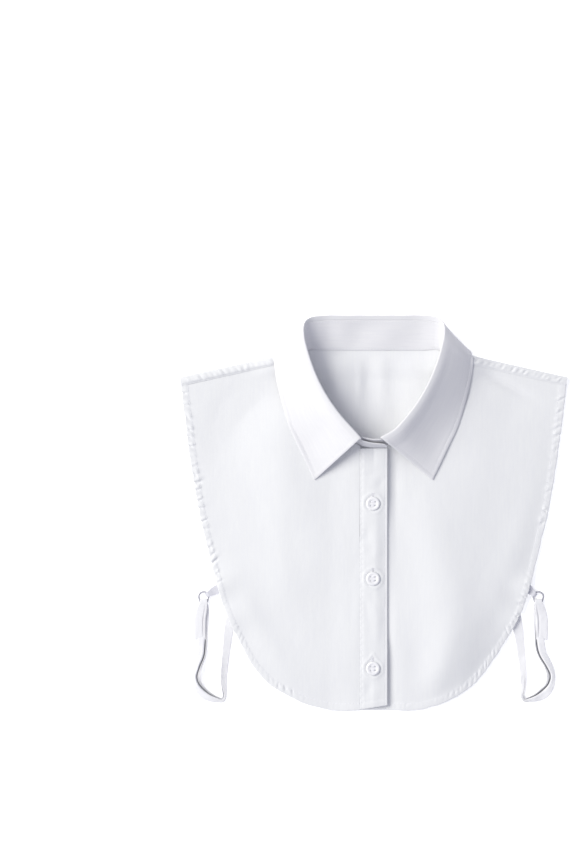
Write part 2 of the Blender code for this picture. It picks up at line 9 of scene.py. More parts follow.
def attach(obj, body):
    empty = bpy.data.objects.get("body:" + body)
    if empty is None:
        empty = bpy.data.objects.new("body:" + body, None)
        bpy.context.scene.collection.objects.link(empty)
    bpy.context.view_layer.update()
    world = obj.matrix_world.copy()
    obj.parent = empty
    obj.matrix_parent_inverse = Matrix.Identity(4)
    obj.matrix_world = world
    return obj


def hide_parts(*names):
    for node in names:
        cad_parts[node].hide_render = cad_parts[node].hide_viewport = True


# A detachable shirt collar: two bib fronts and a back, a placket, a collar on its stand, buttons and side
# loops. It lies flat on its back. Tables are in millimetres: +x wearer's left, +y from hem to collar, +z up.

mm = 0.001

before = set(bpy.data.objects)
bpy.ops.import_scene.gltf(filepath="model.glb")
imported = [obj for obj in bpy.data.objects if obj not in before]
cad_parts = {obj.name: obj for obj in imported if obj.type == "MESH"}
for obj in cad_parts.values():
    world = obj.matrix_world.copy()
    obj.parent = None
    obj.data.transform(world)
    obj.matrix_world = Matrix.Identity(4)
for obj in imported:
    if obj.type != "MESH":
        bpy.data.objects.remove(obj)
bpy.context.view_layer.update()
print("frame loaded")

cut = dict(
    hem=((12.8, -187.6), (43, -187), (63, -181.8), (82, -173.4), (100.3, -161.4), (115, -144.2),
         (127.2, -121.6), (140, -94.5), (149, -66), (158, -30), (166, 4), (173, 45), (178.8, 88),
         (182.6, 119.2)),
    neck=((12.8, 62.6), (25.7, 70.5), (38, 84.5), (49.4, 104), (58.4, 125), (65.2, 145.6)),
    neckPoint=(67, 153.6), shoulderTip=(183.8, 127.4),
    leftDraw=(112, -145, 34), leftMove=(-2.9, 2.5),  # x, y, reach: the left side is drawn in, and how far
)


def smoothThrough(points, shares):  # a smooth line through a table's rows, at shares of its length
    points = np.asarray(points, float)
    shares = np.asarray(shares, float)
    steps = np.linalg.norm(np.diff(points[:, :3], axis=0), axis=1)
    knots = np.concatenate([[0.0], np.cumsum(steps)]) / steps.sum()
    slopes = np.gradient(points, knots, axis=0)
    k = np.clip(np.searchsorted(knots, shares, side="right") - 1, 0, len(points) - 2)
    span = (knots[k + 1] - knots[k])[:, None]
    t = (shares - knots[k])[:, None] / span
    fromStart = (2 * t**3 - 3 * t**2 + 1) * points[k] + (t**3 - 2 * t**2 + t) * span * slopes[k]
    fromEnd = (3 * t**2 - 2 * t**3) * points[k + 1] + (t**3 - t**2) * span * slopes[k + 1]
    return fromStart + fromEnd


def ease(value, low, high):  # 0 up to low, 1 from high on, soft between
    t = np.clip((np.asarray(value, float) - low) / (high - low), 0.0, 1.0)
    return t * t * (3 - 2 * t)


def bell(value, middle, wide):
    return np.exp(-(((value - middle) / wide) ** 2))


def mound(x, y, middleX, middleY, reach):  # a round bell in plan
    return np.exp(-((x - middleX) ** 2 + (y - middleY) ** 2) / reach**2)


def runOf(points):  # distance along a line to each of its points
    return np.concatenate([[0.0], np.cumsum(np.linalg.norm(np.diff(points, axis=0), axis=1))])


def circle(x, y, radius, steps):
    turns = [2 * math.pi * step / steps for step in range(steps)]
    return [(x + radius * math.cos(turn), y + radius * math.sin(turn)) for turn in turns]


def farFrom(line, x, y):  # distance in plan to a line's nearest sample
    x, y = np.asarray(x, float), np.asarray(y, float)
    nearest = np.full(x.shape, 1e9)
    for lineX, lineY in line[:, :2]:
        np.minimum(nearest, (x - lineX) ** 2 + (y - lineY) ** 2, out=nearest)
    return np.sqrt(nearest)


def wander(seed, along, pitch):  # smooth random swings between -1 and 1, one about every pitch
    count = 997
    swings = np.random.RandomState(seed).uniform(-1, 1, count)
    place = np.asarray(along, float) / pitch + 400  # never below zero
    first = np.floor(place).astype(int) % (count - 1)
    t = place - np.floor(place)
    t = t * t * (3 - 2 * t)
    return swings[first] * (1 - t) + swings[first + 1] * t


def clouds(x, y, size, seed):  # soft unevenness in plan, about -1 to 1
    flat = zip(np.ravel(x) / size, np.ravel(y) / size)
    return np.array([noise.noise((a, b, seed * 7.3)) for a, b in flat]).reshape(np.shape(x)) * 1.6


def softFolds(folds, x, y):  # each fold is a long bell across its own line, and some lines are slightly bent
    height = np.zeros(np.shape(x))
    for foldX, foldY, turn, length, width, rise, *bend in folds:
        angle = math.radians(turn)
        along = (x - foldX) * math.cos(angle) + (y - foldY) * math.sin(angle)
        across = (y - foldY) * math.cos(angle) - (x - foldX) * math.sin(angle)
        across = across - sum(bend) * (along / length) ** 2
        height += rise * np.exp(-2 * (along / length) ** 2 - (across / width) ** 2)
    return height


hemLine = smoothThrough(cut["hem"], np.linspace(0, 1, 300))
neckLine = smoothThrough(cut["neck"], np.linspace(0, 1, 160))
shoulderLine = smoothThrough((cut["neck"][-1], cut["hem"][-1]), np.linspace(0, 1, 120))
neckPoint, shoulderTip = np.array(cut["neckPoint"]), np.array(cut["shoulderTip"])
alongShoulder = (shoulderTip - neckPoint) / np.linalg.norm(shoulderTip - neckPoint)
forward = np.array([alongShoulder[1], -alongShoulder[0]])  # from the shoulder down the left front


def drawIn(x, y):
    share = mound(x, y, *cut["leftDraw"])
    return x + cut["leftMove"][0] * share, y + cut["leftMove"][1] * share


# how the cloth lies

drape = dict(
    rest=2, puff=3.8, puffReach=68, corner=7,  # it lies low at the hem and fuller inside
    neckLift=3.5, neckReach=16,  # the collar holds the neck edge up
    backRaise=1.8, raiseY=(124, 138), raiseX=(97, 118),  # behind the neck the back lies over the leaf
    lapRise=1.8, lapX=(-44, -15.8),  # the wearer's right front rides up over the button stand
    topGap=0.7, footGap=1, pressed=1.3, topY=(-22, 30), footY=(104, 142),  # where the lapped edge stands off
    topDip=1.3, footDip=1, dipFootY=(110, 150), dipFrom=(2, 12), dipTo=(14, 30),  # the left front sinks there
    strapLifts=((145, -71, 13, 3.2), (135.5, -100, 15, 2.4)),  # x, y, reach, height: over tab and elastic
    onBack=1.1, hemOnBack=0.35, settle=0.15,  # least heights of a front above the back's bed, how softly kept
    hemHold=0.35, holdHem=30, holdNeck=16, holdPlacket=(13, 22),  # the seams hold the folds down
    folds=(  # x, y, turn, length, width, height
        (-132.5, 74.3, 90, 140, 28, -0.87), (-132.5, 87.6, 35, 140, 28, -1.1),
        (-75.5, 21.1, 105, 100, 20, 0.82), (-109.7, -111.9, 120, 140, 13, 0.77),
        (-121.1, 87.6, 90, 140, 28, -0.96), (-18.5, -85.3, 90, 140, 13, -0.52),
        (-109.7, -85.3, 35, 140, 28, 0.77), (-121.1, -98.6, 105, 100, 13, 0.75),
        (-132.5, 87.6, 60, 140, 28, -1.05), (-109.7, -5.5, 105, 140, 13, -0.48),
        (-86.9, 7.8, 90, 140, 13, 0.49), (-109.7, -111.9, 120, 140, 20, 0.83),
        (-64.1, 7.8, 120, 100, 20, 0.73), (65.1, -92.9, 90, 140, 28, 1.37), (87.9, -119.5, 60, 140, 20, 1.42),
        (65.1, -53, 105, 140, 20, 0.96), (122.1, 53.4, 75, 140, 20, -0.98), (65.1, -146.1, 75, 140, 13, 0.85),
        (99.3, 66.7, 35, 140, 28, -1.1), (65.1, -79.6, 90, 140, 28, 1.34), (144.9, -13.1, 75, 100, 13, 0.92),
        (19.5, 13.5, 90, 100, 20, -1.08), (86, -122, 58, 120, 34, 2.3), (101, -142, 50, 80, 12, 1.9),
        (88, 142, 72, 28, 13.5, 5.5), (114, 129, -30, 46, 4.5, -2.2), (124, 122, -20, 34, 4, -0.9),
        (42.3, -146.1, 90, 60, 13, -0.72), (42.3, -92.9, 35, 140, 28, 0.75),
    ),
    cloudiness=0.13, cloudSizes=(34, 15),
)


def backBed(x, y):  # underside of the back panel: on the table, and over the leaf behind the neck
    return drape["backRaise"] * ease(y, *drape["raiseY"]) * (1 - ease(np.abs(x), *drape["raiseX"]))


def fromEdge(away, y):  # how far in from the hem or the shoulder, blended where they meet
    soft = drape["corner"]
    both = np.exp(-farFrom(hemLine, away, y) / soft) + np.exp(-farFrom(shoulderLine, away, y) / soft)
    return np.maximum(-soft * np.log(both), 0.0)


def frontBed(x, y):  # underside of a front before the lap
    x, y = np.asarray(x, float), np.asarray(y, float)
    away = np.abs(x)
    toEdge = fromEdge(away, y)
    height = drape["rest"] + drape["puff"] * ease(toEdge, 0.0, drape["puffReach"])
    height += backBed(x, y) * (1 - ease(toEdge, 0.0, drape["puffReach"]))
    height += drape["neckLift"] * bell(farFrom(neckLine, away, y), 0, drape["neckReach"])
    for liftX, liftY, reach, rise in drape["strapLifts"]:
        height += rise * mound(away, y, liftX, liftY, reach)
    return height


def frontFolds(x, y):  # what folding and handling left on the fronts
    away = np.abs(x)
    toEdge, toNeck = fromEdge(away, y), farFrom(neckLine, away, y)
    hold = drape["hemHold"] + (1 - drape["hemHold"]) * ease(toEdge, 0, drape["holdHem"])
    hold = hold * ease(toNeck, 0, drape["holdNeck"]) * ease(away, *drape["holdPlacket"])
    large, small = drape["cloudSizes"]
    uneven = drape["cloudiness"] * (clouds(x, y, large, 1) + 0.5 * clouds(x, y, small, 2))
    return softFolds(drape["folds"], x, y) * hold + uneven * ease(toEdge, 0, 12) * ease(away, 12, 18)


def lapRise(x):
    return drape["lapRise"] * ease(x, *drape["lapX"]) * (x < 0)


def placketGap(y):  # the lapped edge stands off most at its top and its foot
    gap = drape["topGap"] * ease(y, *drape["topY"]) + drape["footGap"] * ease(-y, *drape["footY"])
    return gap - drape["pressed"]


def underDip(x, y):  # the left front sinks a little where the lapped edge stands off
    near = (1 - ease(x, *drape["dipTo"])) * ease(x, *drape["dipFrom"])
    dip = drape["topDip"] * ease(y, *drape["topY"]) + drape["footDip"] * ease(-y, *drape["dipFootY"])
    return -near * dip


# cloth with two faces and a folded edge

def placed(name, data):  # an object at the origin, in the scene
    piece = bpy.data.objects.new(name, data)
    bpy.context.scene.collection.objects.link(piece)
    return piece


def dressed(name, mesh, finish):
    mesh.shade_smooth()
    mesh.materials.append(finish)
    return placed(name, mesh)


def evaluatedMesh(piece):
    bpy.context.view_layer.update()
    return bpy.data.meshes.new_from_object(piece.evaluated_get(bpy.context.evaluated_depsgraph_get()))


def gridNormals(grid, up):
    normals = np.cross(np.gradient(grid, axis=0), np.gradient(grid, axis=1))
    normals /= np.maximum(np.linalg.norm(normals, axis=2), 1e-9)[..., None]
    return normals * up


def rimOf(rows, columns):  # row and column of each point round a grid's rim
    ring = [(0, c) for c in range(columns)] + [(r, columns - 1) for r in range(1, rows)]
    ring += [(rows - 1, c) for c in range(columns - 2, -1, -1)] + [(r, 0) for r in range(rows - 2, 0, -1)]
    return np.array(ring).T


def clothPiece(name, grid, wall, weave, finish, up=1.0, foldShading=None):
    # grid: middle surface. wall: thickness, one number or one for each point. weave: uv in millimetres.
    # up: 1 where rows x columns already face out, -1 where they face in. Last: painted shade along a pressed
    # fold, how dark at each point
    rows, columns, _ = grid.shape
    wall = np.broadcast_to(np.asarray(wall, float), (rows, columns))
    normals = gridNormals(grid, up)
    half = (wall / 2)[..., None]
    top, bottom = grid + normals * half, grid - normals * half
    ringRows, ringColumns = rimOf(rows, columns)
    edge, edgeNormal, edgeHalf = (values[ringRows, ringColumns] for values in (grid, normals, half))
    inside = grid[np.clip(ringRows, 1, rows - 2), np.clip(ringColumns, 1, columns - 2)]
    outward = np.cross(np.roll(edge, -1, axis=0) - np.roll(edge, 1, axis=0), edgeNormal)
    outward /= np.maximum(np.linalg.norm(outward, axis=1), 1e-9)[:, None]
    outward *= np.sign(np.sum(outward * (edge - inside), axis=1))[:, None]
    bands = []
    for angle in (45.0, 0.0, -45.0):  # the folded edge is half round
        lean, rise = math.cos(math.radians(angle)), math.sin(math.radians(angle))
        bands.append(edge + (outward * lean + edgeNormal * rise) * edgeHalf)
    points = np.concatenate([top.reshape(-1, 3), bottom.reshape(-1, 3), *bands]) * mm
    total = rows * columns
    index = np.arange(total).reshape(rows, columns)
    upper = np.stack([index[:-1, :-1], index[1:, :-1], index[1:, 1:], index[:-1, 1:]], axis=-1).reshape(-1, 4)
    if up < 0:
        upper = upper[:, ::-1]
    lower = upper[:, ::-1] + total
    topRing = index[ringRows, ringColumns]
    bandRings = 2 * total + np.arange(len(bands) * len(topRing)).reshape(len(bands), -1)
    loops = [topRing, *bandRings, topRing + total]
    sides = []
    for first, second in zip(loops[:-1], loops[1:]):
        strip = np.stack([first, np.roll(first, -1), np.roll(second, -1), second], axis=-1)
        sides.append(strip if up > 0 else strip[:, ::-1])
    mesh = bpy.data.meshes.new(name)
    mesh.from_pydata(points.tolist(), [], np.concatenate([upper, lower, *sides]).tolist())
    corner = np.empty(len(mesh.loops), np.int32)
    mesh.loops.foreach_get("vertex_index", corner)
    weave = np.asarray(weave, float).reshape(-1, 2)
    allWeave = np.concatenate([weave, weave, *[weave[topRing]] * len(bands)]) * mm
    mesh.uv_layers.new(name="weave").data.foreach_set("uv", allWeave[corner].astype(np.float32).ravel())
    # painted shade along a pressed fold is kept as the point attribute fold
    if foldShading is not None:
        foldShading = np.ravel(foldShading)
        allFoldShading = np.concatenate([foldShading, foldShading, *[foldShading[topRing]] * len(bands)])
        mesh.attributes.new("fold", "FLOAT", "POINT").data.foreach_set("value", allFoldShading.astype(np.float32))
    return dressed(name, mesh, finish)


def meshPiece(name, points, faces, finish, outward=False):
    mesh = bpy.data.meshes.new(name)
    mesh.from_pydata([tuple(c * mm for c in point) for point in points], [], faces)
    if outward:
        shape = bmesh.new()
        shape.from_mesh(mesh)
        bmesh.ops.recalc_face_normals(shape, faces=shape.faces)
        shape.to_mesh(mesh)
        shape.free()
    return dressed(name, mesh, finish)


def cutThrough(piece, outline):  # takes an upright prism out of a piece
    count = len(outline)
    points = [(x, y, z) for z in (-5.0, 40.0) for x, y in outline]
    faces = [tuple(range(count - 1, -1, -1)), tuple(range(count, 2 * count))]
    faces += [(i, (i + 1) % count, count + (i + 1) % count, count + i) for i in range(count)]
    opening = piece.modifiers.new("opening", "BOOLEAN")
    opening.object = meshPiece("knife", points, faces, piece.data.materials[0])
    opening.operation = "DIFFERENCE"
    cutMesh = evaluatedMesh(piece)
    bpy.data.objects.remove(opening.object)
    piece.modifiers.remove(opening)
    piece.data = cutMesh


def pick(values, row, column):  # value between a grid's rows and columns
    r = np.clip(np.floor(row).astype(int), 0, values.shape[0] - 2)
    c = np.clip(np.floor(column).astype(int), 0, values.shape[1] - 2)
    s, t = (row - r)[:, None], (column - c)[:, None]
    low = values[r, c] * (1 - t) + values[r, c + 1] * t
    high = values[r + 1, c] * (1 - t) + values[r + 1, c + 1] * t
    return low * (1 - s) + high * s


def seamOn(grid, up, wall, row, column):  # a stitch line on a piece's outer face
    lift = 0.06
    row, column = np.broadcast_arrays(np.asarray(row, float), np.asarray(column, float))
    return pick(grid, row, column) + pick(gridNormals(grid, up), row, column) * (wall / 2 + lift)


def stepsIn(grid, inset, fromEnd=False):
    # for each column, the fractional row that lies inset millimetres in from the first or last row
    order = grid[::-1] if fromEnd else grid
    steps = np.arange(len(order))
    rows = np.array([np.interp(inset, runOf(order[:, c]), steps) for c in range(order.shape[1])])
    return len(grid) - 1 - rows if fromEnd else rows


# finishes

def linearOf(hexText):  # an sRGB hex colour, made linear
    parts = [int(hexText[i:i + 2], 16) / 255 for i in (1, 3, 5)]
    return (*[p / 12.92 if p <= 0.04045 else ((p + 0.055) / 1.055) ** 2.4 for p in parts], 1.0)


def addNode(tree, kind, settings=None, **sockets):
    # sockets: name or number of an input -> a value, another node's output, or a node, for its first output
    made = tree.nodes.new(kind)
    for key, value in (settings or {}).items():
        setattr(made, key, value)
    for key, value in sockets.items():
        place = int(key[1:]) if key[0] == "n" and key[1:].isdigit() else key.replace("_", " ")
        if isinstance(value, bpy.types.Node):
            value = value.outputs[0]
        if isinstance(value, bpy.types.NodeSocket):
            tree.links.new(value, made.inputs[place])
        else:
            made.inputs[place].default_value = value
    return made


def newFinish(name, **inputs):
    finish = bpy.data.materials.new(name)
    finish.use_nodes = True
    tree = finish.node_tree
    tree.nodes.clear()
    shader = addNode(tree, "ShaderNodeBsdfPrincipled", **inputs)
    addNode(tree, "ShaderNodeOutputMaterial", Surface=shader)
    return finish, tree, shader


def setTint(ramp, look, low=0.0, high=1.0):  # from a finish's shade to its white
    for stop, place, colour in zip(ramp.elements, (low, high), ("shade", "white")):
        stop.position = place
        stop.color = linearOf(look[colour])


def threadWaves(tree, weave, *pitches):  # a wave across the cloth and a wave along it
    split = addNode(tree, "ShaderNodeSeparateXYZ", Vector=weave)
    waves = []
    for axis, pitch in zip(split.outputs, pitches):
        pace = 2 * math.pi / (pitch * mm)
        turns = addNode(tree, "ShaderNodeMath", {"operation": "MULTIPLY"}, n0=axis, n1=pace)
        waves.append(addNode(tree, "ShaderNodeMath", {"operation": "SINE"}, n0=turns))
    return waves


def wovenCotton(name, look):
    # plain-woven cotton: matt, with a soft nap that lifts its edges, faint long slubs and a fine square weave
    finish, tree, shader = newFinish(name, Roughness=look["roughness"], Specular_IOR_Level=0.25,
                                     Sheen_Weight=look["sheen"], Sheen_Roughness=0.45)
    weave = addNode(tree, "ShaderNodeUVMap", {"uv_map": "weave"})
    slubMap = addNode(tree, "ShaderNodeMapping", Vector=weave,
                      Scale=(1 / (look["slubWide"] * mm), 1 / (look["slubLong"] * mm), 1))
    slub = addNode(tree, "ShaderNodeTexNoise", {"noise_dimensions": "2D"}, Vector=slubMap,
                   Scale=1, Detail=3, Roughness=0.6)
    pressMap = addNode(tree, "ShaderNodeMapping", Vector=weave,
                       Scale=(1 / (look["rumple"] * mm), 0.6 / (look["rumple"] * mm), 1))
    press = addNode(tree, "ShaderNodeTexNoise", {"noise_dimensions": "2D"}, Vector=pressMap,
                    Scale=1, Detail=4, Roughness=0.55)
    warp, weft = threadWaves(tree, weave, look["thread"], look["thread"])
    square = addNode(tree, "ShaderNodeMath", {"operation": "MULTIPLY"}, n0=warp, n1=weft)
    tint = addNode(tree, "ShaderNodeValToRGB", Fac=slub)
    setTint(tint.color_ramp, look, 0.32, 0.68)
    tree.links.new(tint.outputs[0], shader.inputs["Base Color"])
    under = {}
    for kind, deep, form in (("weave", 0.05, square), ("slub", 0.25, slub), ("rumple", 0.8, press)):
        bump = addNode(tree, "ShaderNodeBump", Strength=look[kind + "Bump"], Distance=deep * mm,
                       Height=form, **under)
        under = {"Normal": bump}  # the next bump builds on this one
    tree.links.new(bump.outputs[0], shader.inputs["Normal"])
    return finish


def ribbedRibbon(name, look):
    # woven ribbon: ribs run across or along it, painted lighter on their crests and darker in their troughs
    # as painted light and shade, and satin stretches its highlight
    finish, tree, shader = newFinish(name, Roughness=look["roughness"], Specular_IOR_Level=look["specular"],
                                     Sheen_Weight=look["sheen"], Anisotropic=look["brushed"])
    weave = addNode(tree, "ShaderNodeUVMap", {"uv_map": "weave"})
    cross, length = threadWaves(tree, weave, look["cord"], look["pick"])
    multiplyAdd = {"operation": "MULTIPLY_ADD"}
    both = addNode(tree, "ShaderNodeMath", multiplyAdd, n0=length, n1=look["pickShare"], n2=cross)
    # painted light and shade: the colour follows the rib relief, from the shade colour in the troughs to the
    # white on the crests
    ribShading = addNode(tree, "ShaderNodeMath", multiplyAdd, n0=both, n1=0.25, n2=0.5)
    tint = addNode(tree, "ShaderNodeValToRGB", Fac=ribShading)
    setTint(tint.color_ramp, look)
    depth = addNode(tree, "ShaderNodeAttribute", {"attribute_name": "fold"})  # painted shade: the colour darkens to the fold colour along the elastic's pressed fold and over the flap beside it
    foldShaded = addNode(tree, "ShaderNodeMix", {"data_type": "RGBA"}, n0=depth.outputs["Fac"], n6=tint,
                     n7=linearOf(look["fold"]))
    tree.links.new(foldShaded.outputs[2], shader.inputs["Base Color"])
    bump = addNode(tree, "ShaderNodeBump", Strength=look["bump"], Distance=0.12 * mm, Height=both)
    tree.links.new(bump.outputs[0], shader.inputs["Normal"])
    return finish


def mouldedPlastic(name, look):
    # cast polyester button or nylon-coated wire: glossy, with a faint cloudiness and fine polish marks
    finish, tree, shader = newFinish(name, Roughness=look["roughness"], IOR=1.54,
                                     Coat_Weight=look["coat"], Coat_Roughness=0.12)
    place = addNode(tree, "ShaderNodeTexCoord").outputs["Object"]
    cloud = addNode(tree, "ShaderNodeTexNoise", Vector=place, Scale=1 / (look["cloud"] * mm), Detail=3)
    tint = addNode(tree, "ShaderNodeValToRGB", Fac=cloud)
    setTint(tint.color_ramp, look, 0.35, 0.65)
    tree.links.new(tint.outputs[0], shader.inputs["Base Color"])
    polish = addNode(tree, "ShaderNodeTexNoise", Vector=place, Scale=1 / (0.3 * mm), Detail=2)
    bump = addNode(tree, "ShaderNodeBump", Strength=look["bump"], Distance=0.02 * mm, Height=polish)
    tree.links.new(bump.outputs[0], shader.inputs["Normal"])
    return finish


finishes = dict(
    # thread: real poplin has one thread in 0.25 mm. It is drawn at 0.55 mm, about twice as coarse, so that
    # the weave shows
    poplin=dict(white="#E8E9EB", shade="#E6E7EA", slubWide=1.7, slubLong=26, rumple=8, thread=0.55,
                weaveBump=0.3, slubBump=0.02, rumpleBump=0.2, roughness=0.86, sheen=0.12),
    fused=dict(white="#E6E6E9", shade="#E3E3E7", slubWide=1.3, slubLong=26, rumple=10, thread=0.55,
               weaveBump=0.25, slubBump=0.01, rumpleBump=0.09, roughness=0.8, sheen=0.1),
    # fold: a painted shade colour, laid along a ribbon's pressed fold and the flap beside it
    thread=dict(white="#F8F8FB", shade="#E6E6EE", fold="#E6E6EE", cord=0.6, pick=0.6, pickShare=0.5,
                bump=0.2, roughness=0.55, specular=0.35, sheen=0.2, brushed=0),
    elastic=dict(white="#FBFBFD", shade="#F2F2F7", fold="#6E6E76", cord=1.1, pick=0.9, pickShare=0.45,
                 bump=0.75, roughness=0.62, specular=0.35, sheen=0.2, brushed=0),
    satin=dict(white="#E2E2E9", shade="#CFCFD8", fold="#D6D6DE", cord=0.5, pick=2.4, pickShare=0.2,
               bump=0.18, roughness=0.34, specular=0.5, sheen=0, brushed=0.55),
    button=dict(white="#F4F4F6", shade="#ECECF0", cloud=3, bump=0.1, roughness=0.22, coat=0.35),
    ring=dict(white="#C2C2CA", shade="#A9A9B3", cloud=5, bump=0.08, roughness=0.25, coat=0.5),
)

poplin = wovenCotton("white cotton poplin", finishes["poplin"])  # 120 g/m2 shirting: soft nap, faint slubs
fused = wovenCotton("fused collar poplin", finishes["fused"])  # pressed onto interlining: smoother, flatter
sewingThread = ribbedRibbon("spun sewing thread", finishes["thread"])  # twisted: a soft sparkle on stitches
elasticWeb = ribbedRibbon("woven strap elastic", finishes["elastic"])  # lengthwise ribs and small picks
satinRibbon = ribbedRibbon("white satin ribbon", finishes["satin"])  # floats lie one way: a long highlight
buttonPlastic = mouldedPlastic("cast polyester button", finishes["button"])  # glossy rim, soft inner light
ringCoat = mouldedPlastic("nylon coated ring wire", finishes["ring"])  # smooth dip coat over steel
print("finishes made")


# running stitches, laid along a seam by nodes

def stitchNodes():
    tree = bpy.data.node_groups.new("runningStitch", "GeometryNodeTree")
    face = tree.interface
    face.new_socket("Seam", in_out="INPUT", socket_type="NodeSocketGeometry")
    for label in ("Stitch length", "Gap", "Thread radius", "Unevenness"):
        face.new_socket(label, in_out="INPUT", socket_type="NodeSocketFloat")
    face.new_socket("Seed", in_out="INPUT", socket_type="NodeSocketInt")
    face.new_socket("Thread", in_out="INPUT", socket_type="NodeSocketMaterial")
    face.new_socket("Stitches", in_out="OUTPUT", socket_type="NodeSocketGeometry")
    given = addNode(tree, "NodeGroupInput").outputs
    length, radius = given["Stitch length"], given["Thread radius"]
    pitch = addNode(tree, "ShaderNodeMath", {"operation": "ADD"}, n0=length, n1=given["Gap"])
    points = addNode(tree, "GeometryNodeResampleCurve", {"mode": "LENGTH"}, Curve=given["Seam"], Length=pitch)
    bead = addNode(tree, "GeometryNodeMeshUVSphere", Segments=6, Rings=5, Radius=1.0)
    halfLength = addNode(tree, "ShaderNodeMath", {"operation": "MULTIPLY"}, n0=length, n1=0.5)
    size = addNode(tree, "ShaderNodeCombineXYZ", X=halfLength, Y=radius, Z=radius)
    least = addNode(tree, "ShaderNodeMath", {"operation": "SUBTRACT"}, n0=1.0, n1=given["Unevenness"])
    vary = addNode(tree, "FunctionNodeRandomValue", {"data_type": "FLOAT"}, n2=least, n3=1.0,
                   Seed=given["Seed"])
    scaled = addNode(tree, "ShaderNodeVectorMath", {"operation": "SCALE"}, n0=size, Scale=vary.outputs[1])
    tangent = addNode(tree, "GeometryNodeInputTangent")
    turned = addNode(tree, "FunctionNodeAlignRotationToVector", {"axis": "X"}, Vector=tangent)
    laid = addNode(tree, "GeometryNodeInstanceOnPoints", Points=points, Instance=bead,
                   Rotation=turned, Scale=scaled)
    real = addNode(tree, "GeometryNodeRealizeInstances", Geometry=laid)
    smooth = addNode(tree, "GeometryNodeSetShadeSmooth", Geometry=real)
    finished = addNode(tree, "GeometryNodeSetMaterial", Geometry=smooth, Material=given["Thread"])
    addNode(tree, "NodeGroupOutput", n0=finished)
    return tree


stitchTree = stitchNodes()
stitch = dict(length=2.1, gap=0.9, radius=0.24, unevenness=0.18)  # drawn twice as thick as thread, to show


def guideLines(name, lines):  # a curve object that runs along each line
    curve = bpy.data.curves.new(name, "CURVE")
    curve.dimensions = "3D"
    for points in lines:
        spline = curve.splines.new("POLY")
        spline.points.add(len(points) - 1)
        places = np.column_stack([np.asarray(points) * mm, np.ones(len(points))])
        spline.points.foreach_set("co", places.ravel())
    return placed(name, curve)


def threadOn(name, guide):  # takes the thread off its guide, as a piece of its own
    mesh = evaluatedMesh(guide)
    mesh.name = name
    mesh.materials.clear()
    bpy.data.objects.remove(guide)
    return dressed(name, mesh, sewingThread)


def sewStitches(name, seams, seed, **ownSizes):
    sizes = {**stitch, **ownSizes}
    guide = guideLines(name + "Seam", seams)
    sewing = guide.modifiers.new("sewing", "NODES")
    sewing.node_group = stitchTree
    given = {item.name: item.identifier for item in stitchTree.interface.items_tree if item.in_out == "INPUT"}
    sewing[given["Stitch length"]] = sizes["length"] * mm
    sewing[given["Gap"]] = sizes["gap"] * mm
    sewing[given["Thread radius"]] = sizes["radius"] * mm
    sewing[given["Unevenness"]] = sizes["unevenness"]
    sewing[given["Seed"]] = seed
    sewing[given["Thread"]] = sewingThread
    return threadOn(name, guide)


# turned hem: three layers, stitched down, and pulled into slanting puckers by the turning

hem = dict(
    width=6.3, plain=0.5, turned=1.0, pad=0.1, groove=0.07, grooveWide=1.1, soften=2.2,
    pitch=9.4, depth=0.3, wide=1.15, long=3.6, slant=38, share=0.55,  # share: how deep they are everywhere
    lowY=(-150, -90), lowPitch=6.4, lowLong=2.2, lowSlant=-30, lowLess=0.22,  # along the bottom
    slants=(-16, 16), middles=(2.0, 4.2), depths=(0.35, 1.5), wides=(0.75, 1.3), longs=(0.6, 1.35),
    pitches=(0.6, 1.4),
    fromEnds=4, nearby=14,  # no pucker starts nearer to an end, and none reaches farther along
    strong=dict(  # x, y, reach, how much deeper: where the puckers are deepest
        right=((-179, 104, 32, 4.4), (-167, 30, 46, 2.6), (-152, -58, 24, 2.8), (-82, -171, 13, 1.5)),
        left=((178, 84, 40, 1.3), (163, -4, 18, 1.8), (138, -86, 26, 1.7), (94, -150, 40, 1.2),
              (26, -184, 10, 1))),
)


def hemPuckers(along, inward, edge, seed, strong, close=1.0):
    # along: run of the hem. inward: distance in from its edge. edge: plan of the hem. Each pucker is a
    # slanting trough with a swell beside it, uneven in place, slant, length and depth
    chance = np.random.RandomState(seed)
    runs = along[:, 0]
    height = np.zeros(np.broadcast_shapes(along.shape, inward.shape))
    place = hem["fromEnds"]
    while place < runs[-1] - hem["fromEnds"]:
        x, y = np.interp(place, runs, edge[:, 0]), np.interp(place, runs, edge[:, 1])
        low = 1 - float(ease(y, *hem["lowY"]))
        deep = hem["share"] - hem["lowLess"] * low + sum(
            extra * math.exp(-((x - sx) ** 2 + (y - sy) ** 2) / reach**2) for sx, sy, reach, extra in strong)
        slant = hem["slant"] * (1 - low) + hem["lowSlant"] * low + chance.uniform(*hem["slants"])
        slant = math.radians(slant)
        middle = chance.uniform(*hem["middles"]) + low
        depth = hem["depth"] * deep * chance.uniform(*hem["depths"])
        wide = hem["wide"] * chance.uniform(*hem["wides"])
        long = chance.uniform(*hem["longs"]) * (hem["long"] * (1 - low) + hem["lowLong"] * low)
        rows = np.abs(runs - place) < hem["nearby"]
        across = (along[rows] - place) * math.cos(slant) + (inward[rows] - middle) * math.sin(slant)
        down = (inward[rows] - middle) * math.cos(slant) - (along[rows] - place) * math.sin(slant)
        swell = bell(across, 2.1 * wide, 1.5 * wide) + 0.4 * bell(across, -2.4 * wide, 1.7 * wide)
        height[rows] += depth * bell(down, 0, long) * (0.75 * swell - bell(across, 0, wide))
        place += close * (hem["pitch"] * (1 - low) + hem["lowPitch"] * low) * chance.uniform(*hem["pitches"])
    return height


